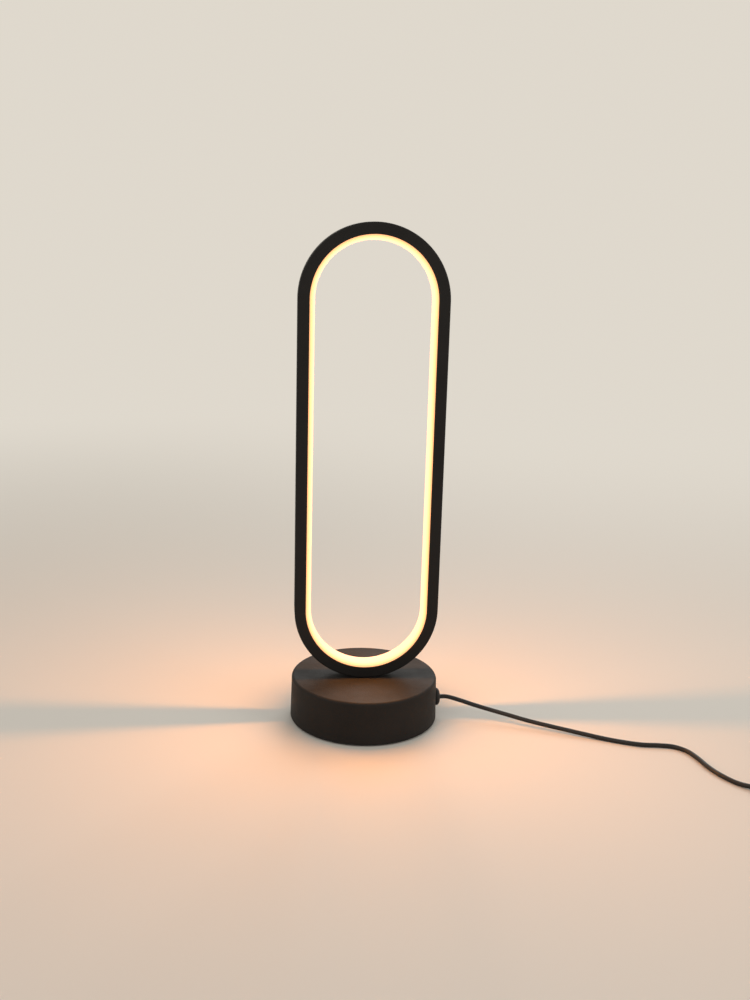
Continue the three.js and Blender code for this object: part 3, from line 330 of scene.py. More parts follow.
def finish_named(name):
    """The finish, made when it is first asked for."""
    return bpy.data.materials.get(name) or FINISHES[name](name)


# Shapes

FINE_SIDES, SIDES, COARSE_SIDES, HEXAGON = 64, 48, 32, 6
SLAB_CORNER_STEPS = 8
LEAST_CORNER = 0.15 * MM
POLE_RADIUS = 1e-7
WELD = 1e-6
BEVEL_ANGLE = math.radians(30.0)
SMOOTH_ANGLE = math.radians(32.0)


def arc_corners(corners, steps=5, closed=False):
    """A line of (x, y, radius) corners with each one rounded by its radius."""
    line = []
    count = len(corners)
    for i, (x, y, radius) in enumerate(corners):
        here = Vector((x, y))
        if radius <= 0 or (not closed and i in (0, count - 1)):
            line.append((x, y))
            continue
        back = (Vector(corners[i - 1][:2]) - here).normalized()
        ahead = (Vector(corners[(i + 1) % count][:2]) - here).normalized()
        half = back.angle(ahead) / 2
        centre = here + (back + ahead).normalized() * (radius / math.sin(half))
        start = here + back * (radius / math.tan(half)) - centre
        end = here + ahead * (radius / math.tan(half)) - centre
        sweep = start.angle_signed(end)
        for k in range(steps + 1):
            line.append(tuple(centre + Matrix.Rotation(-sweep * k / steps, 2) @ start))
    return line


def face_outwards(work):
    bmesh.ops.recalc_face_normals(work, faces=work.faces)
    if work.calc_volume(signed=True) < 0.0:
        bmesh.ops.reverse_faces(work, faces=work.faces)


def mesh_from(rings, closed=False):
    """A mesh of rings of points with the same count, joined in turn. A ring of one point is a pole."""
    work = bmesh.new()
    made = [[work.verts.new(point) for point in ring] for ring in rings]
    after = made[1:] + made[:1] if closed else made[1:]
    for low, high in zip(made, after):
        count = max(len(low), len(high))
        for i in range(count):
            k = (i + 1) % count
            if len(low) == 1:
                work.faces.new((low[0], high[k], high[i]))
            elif len(high) == 1:
                work.faces.new((low[i], low[k], high[0]))
            else:
                work.faces.new((low[i], low[k], high[k], high[i]))
    ends = () if closed else (made[0][::-1], made[-1])
    for end in ends:
        if len(end) > 2:
            work.faces.new(end)
    face_outwards(work)
    mesh = bpy.data.meshes.new("shape")
    work.to_mesh(mesh)
    work.free()
    return mesh


def turned_mesh(profile, sides, closed=False):
    """A profile of (radius, height) turned about Z."""
    angles = [2 * math.pi * i / sides for i in range(sides)]
    rings = []
    for radius, height in profile:
        ring = [(radius * math.cos(angle), radius * math.sin(angle), height) for angle in angles]
        rings.append([(0.0, 0.0, height)] if radius < POLE_RADIUS else ring)
    return mesh_from(rings, closed)


def rod(radius, low, high, sides=SIDES):
    """A plain upright cylinder, to cut a hole with."""
    return turned_mesh([(0.0, low), (radius, low), (radius, high), (0.0, high)], sides)


def slab(length_x, width_y, corner, levels, closed=False):
    """Rounded rectangles drawn in by an inset at each height, as a solid or as a closed sleeve."""
    rings = []
    for inset, height in levels:
        x, y = (length_x - 2 * inset) / 2, (width_y - 2 * inset) / 2
        around = max(corner - inset, LEAST_CORNER)
        corners = [(x, -y, around), (x, y, around), (-x, y, around), (-x, -y, around)]
        line = arc_corners(corners, SLAB_CORNER_STEPS, closed=True)
        rings.append([(px, py, height) for px, py in line])
    return mesh_from(rings, closed)


def moved(mesh, place):
    """The mesh, moved by a vector or a matrix."""
    mesh.transform(place if isinstance(place, Matrix) else Matrix.Translation(place))
    return mesh


def along_x(height, x=0.0, y=0.0, back=False):
    """Turns a shape made about Z so that it lies along X at a height, pointing to +X or back."""
    turn = Matrix.Rotation(math.pi / 2, 4, "Y")
    if back:
        turn = Matrix.Rotation(math.pi, 4, "Z") @ turn
    return Matrix.Translation((x, y, height)) @ turn


def loose(name, data):
    """An object that isn't a piece yet."""
    made = bpy.data.objects.new(name, data)
    bpy.context.scene.collection.objects.link(made)
    return made


def settled(worker):
    """The mesh of an object with its modifiers worked in. The object goes."""
    graph = bpy.context.evaluated_depsgraph_get()
    mesh = bpy.data.meshes.new_from_object(worker.evaluated_get(graph))
    bpy.data.objects.remove(worker)
    return mesh


def combined(mesh, others, operation="DIFFERENCE"):
    """A closed mesh cut by, or joined with, other closed meshes."""
    worker = loose("worker", mesh)
    tools = [loose("tool", other) for other in others]
    for tool in tools:
        cut = worker.modifiers.new("cut", "BOOLEAN")
        cut.operation = operation
        cut.solver = "EXACT"
        cut.object = tool
    result = settled(worker)
    for tool in tools:
        bpy.data.objects.remove(tool)
    return welded(result)


def welded(mesh, distance=WELD):
    """The mesh with its doubles merged and its faces pointing outwards."""
    work = bmesh.new()
    work.from_mesh(mesh)
    bmesh.ops.remove_doubles(work, verts=work.verts, dist=distance)
    bmesh.ops.dissolve_degenerate(work, edges=work.edges, dist=distance / 10)
    face_outwards(work)
    work.to_mesh(mesh)
    work.free()
    return mesh


def softened_node(node, width):
    """A merged copy of a frame node's mesh with its sharp edges rounded."""
    worker = loose("worker", welded(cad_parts[node].data.copy(), 2 * WELD))
    bevel = worker.modifiers.new("edges", "BEVEL")
    bevel.width = width
    bevel.segments = 2
    bevel.limit_method = "ANGLE"
    bevel.angle_limit = BEVEL_ANGLE
    return settled(worker)


def piece(name, mesh, finish, replaces=(), body=LAMP):
    """A finished piece of the lamp, at the origin, smooth up to its sharp edges, riding on its body."""
    mesh.shade_smooth()
    mesh.set_sharp_from_angle(angle=SMOOTH_ANGLE)
    worker = loose("worker", mesh)
    worker.modifiers.new("normals", "WEIGHTED_NORMAL").keep_sharp = True
    mesh = settled(worker)
    mesh.name = name
    mesh.materials.clear()
    mesh.materials.append(finish_named(finish))
    made = loose(name, mesh)
    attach(made, body)
    if replaces:
        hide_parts(*replaces)


def poly_curve(name, points):
    """A curve of one spline that runs straight from point to point."""
    curve = bpy.data.curves.new(name, "CURVE")
    curve.dimensions = "3D"
    spline = curve.splines.new("POLY")
    spline.points.add(len(points) - 1)
    for point, place in zip(spline.points, points):
        point.co = (*place, 1.0)
    return curve


# Geometry Nodes trees

class Tree:
    """A Geometry Nodes tree with named inputs, which ends in real geometry with its material."""

    def __init__(self, name, inputs):
        self.group = bpy.data.node_groups.new(name, "GeometryNodeTree")
        sockets = self.group.interface
        for label, kind in {"Geometry": "Geometry", **inputs, "Material": "Material"}.items():
            sockets.new_socket(label, in_out="INPUT", socket_type="NodeSocket" + kind)
        sockets.new_socket("Geometry", in_out="OUTPUT", socket_type="NodeSocketGeometry")
        self.given = add_node(self.group, "NodeGroupInput").outputs

    def node(self, kind, inputs=None, **values):
        return add_node(self.group, "GeometryNode" + kind, inputs, **values)

    def vector(self, operation, *vectors):
        made = add_node(self.group, "ShaderNodeVectorMath", dict(enumerate(vectors)), operation=operation)
        return made.outputs["Vector"]

    def finish(self, geometry):
        real = self.node("RealizeInstances", {"Geometry": geometry})
        paint = self.node("SetMaterial", {"Geometry": real.outputs[0], "Material": self.given["Material"]})
        add_node(self.group, "NodeGroupOutput", {"Geometry": paint.outputs[0]})
        return self.group


def loop_sweep_tree(name):
    """Carries a profile round an upright rounded loop, which is a circle drawn apart at its quarters."""
    inputs = {"Corner radius": "Float", "Points": "Int", "Half step": "Vector"}
    tree = Tree(name, {**inputs, "Corner place": "Vector", "Centre": "Vector"})
    given = tree.given
    size = {"Resolution": given["Points"], "Radius": given["Corner radius"]}
    circle = tree.node("CurvePrimitiveCircle", size).outputs["Curve"]
    beside = tree.node("Transform", {"Geometry": circle, "Rotation": given["Half step"]}).outputs[0]
    quarter = tree.vector("SIGN", tree.node("InputPosition").outputs["Position"])
    apart = tree.vector("MULTIPLY", quarter, given["Corner place"])
    loop = tree.node("SetPosition", {"Geometry": beside, "Offset": apart}).outputs[0]
    sweep = tree.node("CurveToMesh", {"Curve": loop, "Profile Curve": given["Geometry"]}).outputs["Mesh"]
    upright = {"Geometry": sweep, "Rotation": (math.pi / 2, 0.0, 0.0), "Translation": given["Centre"]}
    return tree.finish(tree.node("Transform", upright).outputs[0])


def row_tree(name):
    """Sets copies of an object in a row."""
    tree = Tree(name, {"Item": "Object", "Count": "Int", "Start": "Vector", "Step": "Vector"})
    given = tree.given
    line = {"Count": given["Count"], "Start Location": given["Start"], "Offset": given["Step"]}
    row = tree.node("MeshLine", line, mode="OFFSET").outputs["Mesh"]
    item = tree.node("ObjectInfo", {"Object": given["Item"]}, transform_space="ORIGINAL")
    copies = tree.node("InstanceOnPoints", {"Points": row, "Instance": item.outputs["Geometry"]})
    return tree.finish(copies.outputs["Instances"])


TREES = {"rounded_loop_sweep": loop_sweep_tree, "row_of_copies": row_tree}


def run_tree(data, name, finish, values):
    """The mesh that a tree makes of a curve or a mesh, with its inputs set by their identifiers."""
    group = bpy.data.node_groups.get(name) or TREES[name](name)
    worker = loose("worker", data)
    modifier = worker.modifiers.new("nodes", "NODES")
    modifier.node_group = group
    known = {item.name: item.identifier for item in group.interface.items_tree if item.in_out == "INPUT"}
    for label, value in {**values, "Material": finish_named(finish)}.items():
        modifier[known[label]] = value
    return settled(worker)


def row_of(item_mesh, count, start, step, finish):
    """Copies of a mesh in a row."""
    item = loose("item", item_mesh)
    values = {"Item": item, "Count": count, "Start": start, "Step": step}
    mesh = run_tree(bpy.data.meshes.new("empty"), "row_of_copies", finish, values)
    bpy.data.objects.remove(item)
    return mesh


# Cords

# The route from the base to the switch, in millimetres, as in the part's source, and its ends inside both
FIRST_STRETCH = [
    (53.8, 0, 12.6), (57.6, 0, 12.6), (62, -1.1, 12), (68.3, -3.5, 10.8), (75, -6.2, 9.4),
    (84.9, -10.7, 7.8), (97.8, -17, 6.2), (110.5, -23.3, 4.6), (123, -29.5, 3.6), (135.5, -35.7, 2.9),
    (147.5, -41.6, 2.2), (158.5, -46.9, 1.6), (169.5, -52.2, 1.55), (181.1, -56.4, 1.55),
    (192, -57.8, 1.55), (201.5, -60.2, 1.55), (208.2, -66.6, 1.55), (211.7, -77, 1.55),
    (214, -89, 1.55), (218.4, -101, 1.55), (225.4, -111.6, 1.6), (234, -119.4, 3),
    (240.3, -123.2, 4.8), (244.5, -124, 5.25), (245.4, -124, 5.25),
]
IN_BASE, IN_SWITCH = Vector((52.5, 0.0, 12.6)), Vector((247.4, -124.0, 5.25))
# From the switch to the coil and from the coil to the plug, and the ends inside the switch and the plug
SECOND_STRETCH = [
    (312.6, -124, 5.25), (316.5, -123.9, 5), (321.4, -120.8, 3.8), (324.4, -115, 2.7),
    (325.4, -108, 2.4), (325.38, -100, 2.4), (325.38, -92, 2.4), (325.38, -87.3, 2.4),
]
LAST_STRETCH = [
    (325.38, -80.7, 13.05), (325.38, -76.7, 13.05), (325.6, -71, 12.2), (325.9, -63, 9.8),
    (326, -54.5, 6.9), (326, -47, 4.7), (326, -41, 3.85), (326, -36.3, 3.8),
]
OUT_OF_SWITCH, IN_PLUG = Vector((310.6, -124.0, 5.25)), Vector((326.0, -34.6, 3.8))
ROUTE_STEPS = 6
# The coil, in millimetres. It spirals in and out, a layer higher with each pass.
COIL_CENTRE = (304.0, -84.0)
COIL_PASSES = 4
COIL_TURNS = 2.75
COIL_MEAN_RADIUS = 16.5
COIL_TURN_GAP = 0.55
COIL_FLOOR = 2.4
COIL_POINTS_PER_TURN = 60


def smooth_route(points):
    """Points on the centripetal curve through the given ones."""
    nodes = [Vector(point) for point in points]
    nodes = [2 * nodes[0] - nodes[1], *nodes, 2 * nodes[-1] - nodes[-2]]
    route = []
    for before, start, end, after in zip(nodes, nodes[1:], nodes[2:], nodes[3:]):
        spans = [(b - a).length ** 0.5 for a, b in ((before, start), (start, end), (end, after))]
        leave = (start - before) / spans[0] - (end - before) / (spans[0] + spans[1])
        leave = (leave + (end - start) / spans[1]) * spans[1]
        arrive = (end - start) / spans[1] - (after - start) / (spans[1] + spans[2])
        arrive = (arrive + (after - end) / spans[2]) * spans[1]
        for k in range(ROUTE_STEPS):
            t = k / ROUTE_STEPS
            point = start * (2 * t**3 - 3 * t**2 + 1) + end * (3 * t**2 - 2 * t**3)
            point += leave * (t**3 - 2 * t**2 + t) + arrive * (t**3 - t**2)
            route.append(point)
    route.append(nodes[-2])
    return route


def coil_pitch():
    """How far apart the coil's turns lie, in millimetres."""
    return sizes().cord_diameter / MM + COIL_TURN_GAP


def coil_point(turns):
    """The coil's centre line at a number of turns from its start, in millimetres."""
    pitch = coil_pitch()
    spread = COIL_TURNS * pitch
    outer = COIL_MEAN_RADIUS + spread / 2
    layer = min(int(turns / COIL_TURNS), COIL_PASSES - 1)
    along = turns - layer * COIL_TURNS
    radius = outer - along * pitch if layer % 2 == 0 else outer - spread + along * pitch
    nearest = round(turns / COIL_TURNS)
    if 0 < nearest < COIL_PASSES:
        climb = min(max((turns - nearest * COIL_TURNS) * 2 + 0.5, 0.0), 1.0)
        layer = nearest - 1 + climb * climb * (3 - 2 * climb)
    angle = 2 * math.pi * turns
    x, y = COIL_CENTRE[0] + radius * math.cos(angle), COIL_CENTRE[1] + radius * math.sin(angle)
    return Vector((x, y, COIL_FLOOR + layer * pitch))


def coil_route():
    """The coil's points, from its outside on the floor to its outside on top."""
    turns = COIL_PASSES * COIL_TURNS
    count = round(turns * COIL_POINTS_PER_TURN)
    return [coil_point(turns * i / count) for i in range(count + 1)]


def cord_curve(name, route):
    """A round cord along a route in millimetres."""
    curve = poly_curve(name, [place * MM for place in route])
    curve.bevel_depth = sizes().cord_diameter / 2
    curve.bevel_resolution = 5
    curve.use_fill_caps = True
    curve.splines[0].use_smooth = True
    curve.materials.append(finish_named("cord_jacket"))
    made = loose(name, curve)
    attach(made, LAMP)
    return made


class LAMP_OT_cords(bpy.types.Operator):
    """Lays the cord from the base to its switch, and from there through its coil to the plug"""

    bl_idname = "lamp.cords"
    bl_label = "Cords"

    def execute(self, context):
        first = [IN_BASE, *smooth_route(FIRST_STRETCH), IN_SWITCH]
        to_switch = cord_curve("cord_from_base", first)
        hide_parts("cord_to_switch")
        second, last = smooth_route(SECOND_STRETCH), smooth_route(LAST_STRETCH)
        whole = [OUT_OF_SWITCH, *second, *coil_route(), *last, IN_PLUG]
        to_plug = cord_curve("cord_with_coil", whole)
        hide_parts("cord_to_coil", "cord_coil", "cord_to_plug")
        return {"FINISHED"}


# The ring

RING_CORNER_STEPS = 48
DOME_STEPS = 20
# Of the hole for the threaded nipple, in the ring and in the base
NIPPLE_HOLE = 5.3 * MM


def ring_sweep(section, finish):
    """Carries a closed section of (inset, depth) points round the ring's own outline."""
    s = sizes()
    profile = poly_curve("profile", [(-inset, depth, 0.0) for inset, depth in section])
    profile.splines[0].use_cyclic_u = True
    corner = s.ring_width / 2
    points = 4 * RING_CORNER_STEPS
    values = {
        "Corner radius": corner,
        "Points": points,
        "Half step": (0.0, 0.0, math.pi / points),
        "Corner place": (0.0, s.ring_height / 2 - corner, 0.0),
        "Centre": (0.0, 0.0, s.base_height + s.ring_height / 2),
    }
    return welded(run_tree(profile, "rounded_loop_sweep", finish, values))


class LAMP_OT_ring_frame(bpy.types.Operator):
    """Makes the ring's bent channel, open inwards, with rounded outer edges"""

    bl_idname = "lamp.ring_frame"
    bl_label = "Ring frame"

    def execute(self, context):
        s = sizes()
        outer = s.ring_depth / 2
        inner = outer - s.channel_side
        lip, root = mm(0.35, 0.3)
        front = [
            (0.0, -outer, s.channel_edge), (s.channel_depth, -outer, lip),
            (s.channel_depth, -inner, root), (s.channel_floor, -inner, root),
        ]
        rear = [(inset, -depth, rounding) for inset, depth, rounding in reversed(front)]
        mesh = ring_sweep(arc_corners(front + rear, closed=True), "powder_coat")
        mesh = combined(mesh, [rod(NIPPLE_HOLE, *mm(20, 38))])
        piece("ring_frame", mesh, "powder_coat", ["ring_channel"])
        return {"FINISHED"}


class LAMP_OT_light_line(bpy.types.Operator):
    """Makes the domed light line that closes the ring's channel"""

    bl_idname = "lamp.light_line"
    bl_label = "Light line"

    def execute(self, context):
        s = sizes()
        leg_tip, leg_outer, leg_inner, wall = mm(4.45, 5.9, 4.6, 1.3)
        foot, rise, inner_rise = s.dome_foot, s.dome_rise, s.dome_rise - wall
        angles = [math.pi * i / DOME_STEPS for i in range(DOME_STEPS + 1)]
        section = [(leg_tip, -leg_inner), (leg_tip, -leg_outer), (foot, -leg_outer)]
        section += [(foot + rise * math.sin(angle), -s.dome_half * math.cos(angle)) for angle in angles]
        section += [(foot, leg_outer), (leg_tip, leg_outer), (leg_tip, leg_inner)]
        section += [(foot + inner_rise * math.sin(angle), leg_inner * math.cos(angle)) for angle in angles]
        mesh = ring_sweep(section, "frosted_light")
        piece("light_line", mesh, "frosted_light", ["light_diffuser"])
        return {"FINISHED"}


class LAMP_OT_ring_seat(bpy.types.Operator):
    """Makes the rubber saddle that the ring's foot lies in"""

    bl_idname = "lamp.ring_seat"
    bl_label = "Ring seat"

    def execute(self, context):
        mesh = softened_node("ring_saddle", 0.3 * MM)
        piece("saddle_pad", mesh, "moulded_rubber", ["ring_saddle"])
        return {"FINISHED"}


# The base

CORD_HEIGHT = 12.6 * MM
CORD_HOLE = 4.5 * MM
SADDLE_ROOM = 0.3 * MM
# How far a cutting shape reaches past what it cuts
PAST = 1 * MM


class LAMP_OT_base(bpy.types.Operator):
    """Makes the turned base cup with its rounded top edge, and the foam foot under it"""

    bl_idname = "lamp.base"
    bl_label = "Base"

    def execute(self, context):
        s = sizes()
        sides = settings().turn_segments
        top, radius = s.base_height, s.base_radius
        top_radius = radius - s.base_draft
        wall, ceiling, rim = 2.0 * MM, top - 2.6 * MM, 1.0 * MM
        corners = [
            (0.0, top, 0.0), (top_radius, top, s.base_edge), (radius, rim, 0.4 * MM),
            (radius - wall, rim, 0.3 * MM), (top_radius - wall, ceiling, 1.0 * MM), (0.0, ceiling, 0.0),
        ]
        cup = turned_mesh(arc_corners(corners, steps=8), sides)
        low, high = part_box("ring_saddle")
        length_x, width_y = high.x - low.x + 2 * SADDLE_ROOM, high.y - low.y + 2 * SADDLE_ROOM
        pocket = slab(length_x, width_y, 0.6 * MM, [(0.0, low.z), (0.0, top + PAST)])
        nipple_hole = rod(NIPPLE_HOLE, *mm(22, 35))
        cord_hole = moved(rod(CORD_HOLE, *mm(45, 52)), along_x(CORD_HEIGHT))
        cup = combined(cup, [pocket, nipple_hole, cord_hole])
        piece("base_cup", cup, "powder_coat", ["base_shell"])
        low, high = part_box("foot_pad")
        corners = [
            (0.0, low.z, 0.0), (high.x, low.z, 0.5 * MM),
            (high.x, high.z, 0.3 * MM), (0.0, high.z, 0.0),
        ]
        foot = turned_mesh(arc_corners(corners), sides)
        piece("foot_disc", foot, "foam_rubber", ["foot_pad"])
        return {"FINISHED"}


class LAMP_OT_cable_bush(bpy.types.Operator):
    """Makes the small domed rubber bush that the cord comes out of"""

    bl_idname = "lamp.cable_bush"
    bl_label = "Cable bush"

    def execute(self, context):
        low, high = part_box("cable_grommet")
        radius = high.y
        neck, bore, rounding = mm(4.2, 1.8, 0.3)
        inside = low.x + 1.4 * MM
        seat = sizes().base_radius - 0.7 * MM
        dome_start = sizes().base_radius + 0.6 * MM
        profile = [(bore, low.x), (radius, low.x), (radius, inside), (neck, inside), (neck, seat)]
        profile.append((radius - rounding, seat))
        fullness, steps = 0.8, 14
        last = math.acos(((bore + rounding) / radius) ** (1 / fullness))
        for i in range(steps + 1):
            angle = last * i / steps
            along = math.sin(angle) / math.sin(last)
            profile.append((radius * math.cos(angle) ** fullness, dome_start + (high.x - dome_start) * along))
        profile.append((bore, high.x - rounding))
        mesh = moved(turned_mesh(profile, FINE_SIDES, closed=True), along_x(CORD_HEIGHT))
        piece("cable_bush", mesh, "moulded_rubber", ["cable_grommet"])
        return {"FINISHED"}


# The switch on the cord

SWITCH_CENTRE = Vector(mm(279.0, -124.0, 0.0))
SWITCH_AXIS_HEIGHT = 5.25 * MM
CASE_CORNER = 5.0 * MM
CASE_WALL = 1.4 * MM
CASE_EDGE = 1.0 * MM
CASE_BORE = 2.8 * MM
# Where the bottom ends and where the top starts
CASE_SPLIT = mm(5.4, 5.7)
BUTTON_PITCH = 12.0 * MM
BUTTON_RADIUS = 3.8 * MM
SCREW_PLACE = Vector(mm(6.0, -5.6, 0.0))
SCREW_SUNK = Vector(mm(0.0, 0.0, 0.3))
MARK_LOW, MARK_HIGH = mm(10.9, 11.26)
BAR_LENGTH, BAR_WIDTH = mm(2.7, 0.42)
RELIEF_GROOVES = 4


def case_half(outside, split, holes):
    """One half of the switch case, from its outer face to where it meets the other half, with its holes."""
    inside = outside + (CASE_WALL if outside < split else -CASE_WALL)
    flat = 3.5 * MM
    corners = [
        (flat, outside, 0.0), (0.0, outside, CASE_EDGE), (0.0, split, 0.25 * MM),
        (CASE_WALL, split, 0.2 * MM), (CASE_WALL, inside, 0.5 * MM), (flat, inside, 0.0),
    ]
    half = slab(sizes().case_length, sizes().case_width, CASE_CORNER, arc_corners(corners, steps=6))
    bore = moved(rod(CASE_BORE, *mm(-30, 30), COARSE_SIDES), along_x(SWITCH_AXIS_HEIGHT))
    return moved(combined(half, [bore, *holes]), SWITCH_CENTRE)


class LAMP_OT_switch_case(bpy.types.Operator):
    """Makes the two moulded halves of the switch case"""

    bl_idname = "lamp.switch_case"
    bl_label = "Switch case"

    def execute(self, context):
        sink = [mm(0, -1), mm(2.0, -1), mm(2.0, 1.1), mm(1.15, 1.1), mm(1.15, 6), mm(0, 6)]
        sinks = [moved(turned_mesh(sink, COARSE_SIDES), side * SCREW_PLACE) for side in (1, -1)]
        bottom = case_half(0.0, CASE_SPLIT[0], sinks)
        piece("switch_base", bottom, "case_plastic", ["switch_case_bottom"])
        low, high = 7 * MM, sizes().case_height
        radius, lead = BUTTON_RADIUS + 0.3 * MM, 0.35 * MM
        hole = [
            (0.0, low), (radius, low), (radius, high - lead),
            (radius + lead, high), (radius + lead, high + PAST), (0.0, high + PAST),
        ]
        places = [Vector((side * BUTTON_PITCH, 0.0, 0.0)) for side in (-1, 0, 1)]
        holes = [moved(turned_mesh(hole, FINE_SIDES), place) for place in places]
        top = case_half(high, CASE_SPLIT[1], holes)
        piece("switch_lid", top, "case_plastic", ["switch_case_top"])
        return {"FINISHED"}


class LAMP_OT_switch_screws(bpy.types.Operator):
    """Sets the two cheese-headed screws that hold the switch case together"""

    bl_idname = "lamp.switch_screws"
    bl_label = "Switch screws"

    def execute(self, context):
        head, head_height, shank, tip, rounding, edge = mm(1.7, 0.8, 0.85, 7.4, 0.2, 0.05)
        key, key_depth = mm(0.75, 0.45)
        corners = [
            (0.0, 0.0, 0.0), (head, 0.0, rounding), (head, head_height, edge),
            (shank, head_height, edge), (shank, tip, rounding), (0.0, tip, 0.0),
        ]
        screw = turned_mesh(arc_corners(corners, steps=3), COARSE_SIDES)
        screw = combined(screw, [rod(key, -PAST, key_depth, HEXAGON)])
        start = SWITCH_CENTRE + SCREW_PLACE + SCREW_SUNK
        mesh = row_of(screw, 2, start, -2 * SCREW_PLACE, "plated_steel")
        piece("case_screws", mesh, "plated_steel", ["switch_screw_1", "switch_screw_2"])
        return {"FINISHED"}


def bar(length_x, width_y):
    """A thin stroke of a mark, with rounded corners."""
    edge = 0.05 * MM
    return slab(length_x, width_y, 0.12 * MM, [(0.0, MARK_LOW), (0.0, MARK_HIGH - edge), (edge, MARK_HIGH)])


def power_mark():
    """An open ring with a stroke in its opening, as a closed solid."""
    inner, outer = mm(0.95, 1.35)
    opening, steps = math.radians(64), 32
    corners = ((inner, MARK_LOW), (outer, MARK_LOW), (outer, MARK_HIGH), (inner, MARK_HIGH))
    rings = []
    for i in range(steps + 1):
        angle = math.pi / 2 + opening / 2 + (2 * math.pi - opening) * i / steps
        rings.append([(radius * math.cos(angle), radius * math.sin(angle), z) for radius, z in corners])
    stroke = moved(bar(BAR_WIDTH, 1.3 * MM), mm(0.0, 0.95, 0.0))
    return combined(mesh_from(rings), [stroke], "UNION")


class LAMP_OT_buttons(bpy.types.Operator):
    """Makes the three dished buttons of the switch and the marks moulded on them"""

    bl_idname = "lamp.buttons"
    bl_label = "Buttons"

    def execute(self, context):
        dish, edge = mm(0.3, 3.3)
        steps = 8
        for i, name in enumerate(SWITCH_NAMES):
            body = f"button_{name}"
            low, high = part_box(body)
            lip, lip_top = (high.x - low.x) / 2, low.z + 0.8 * MM
            place = SWITCH_CENTRE + Vector(((i - 1) * BUTTON_PITCH, 0.0, 0.0))
            corners = [
                (0.0, low.z, 0.0), (lip, low.z, 0.15 * MM), (lip, lip_top, 0.15 * MM),
                (BUTTON_RADIUS, lip_top, 0.1 * MM), (BUTTON_RADIUS, high.z, 0.35 * MM), (edge, high.z, 0.0),
            ]
            profile = arc_corners(corners)
            for k in range(1, steps + 1):
                share = 1 - k / steps
                profile.append((edge * share, high.z - dish * (1 - share**2)))
            cap = moved(turned_mesh(profile, FINE_SIDES), place)
            piece(f"button_cap_{name}", cap, "button_plastic", [body], body)
            mark = power_mark() if name == "power" else bar(BAR_LENGTH, BAR_WIDTH)
            if name == "brighter":
                mark = combined(mark, [bar(BAR_WIDTH, BAR_LENGTH)], "UNION")
            piece(f"button_mark_{name}", moved(mark, place), "printed_mark", (), body)
        return {"FINISHED"}


def grooves(starts, offsets, radius_at, depth):
    """The profile of grooves in a tapered turned shape. Their corners' offsets are in millimetres."""
    points = []
    for start in starts:
        for offset, sunk in zip(offsets, (0.0, depth, depth, 0.0)):
            height = start + offset * MM
            points.append((radius_at(height) - sunk, height))
    return points


class LAMP_OT_strain_reliefs(bpy.types.Operator):
    """Makes the grooved strain reliefs at both ends of the switch"""

    bl_idname = "lamp.strain_reliefs"
    bl_label = "Strain reliefs"

    def execute(self, context):
        wall = sizes().case_length / 2
        bore, neck, wide, narrow, depth = mm(1.8, 2.5, 3.1, 2.2, 0.42)
        inside, outside, tip = wall - 1.7 * MM, wall + 0.05 * MM, wall + 10.3 * MM
        flange, run = inside - 1.2 * MM, tip - outside
        pitch = run / (RELIEF_GROOVES + 1)
        middles = [outside + pitch * (i + 1) for i in range(RELIEF_GROOVES)]

        def radius_at(height):
            return wide + (narrow - wide) * (height - outside) / run

        profile = [(bore, flange), (wide, flange), (wide, inside), (neck, inside), (neck, outside)]
        profile += [(wide, outside), *grooves(middles, (-0.4, -0.32, 0.32, 0.4), radius_at, depth)]
        profile += [(narrow, tip - 0.25 * MM), (narrow - 0.2 * MM, tip), (bore, tip)]
        ends = (("relief_in", "switch_relief_1", True), ("relief_out", "switch_relief_2", False))
        for name, node, back in ends:
            mesh = turned_mesh(profile, SIDES, closed=True)
            moved(mesh, along_x(SWITCH_AXIS_HEIGHT, SWITCH_CENTRE.x, SWITCH_CENTRE.y, back))
            piece(name, mesh, "moulded_rubber", [node])
        return {"FINISHED"}


# The plug and the coil's strap

PLUG_TAIL = Vector(mm(326.0, -36.0, 3.8))
TAIL_LENGTH = 9.0 * MM
STRAP_ROOM = 0.3 * MM
STRAP_STEPS = 72


def along_plug():
    """Turns a shape made about Z so that it points along +Y from the plug's tail."""
    return Matrix.Translation(PLUG_TAIL) @ Matrix.Rotation(-math.pi / 2, 4, "X")


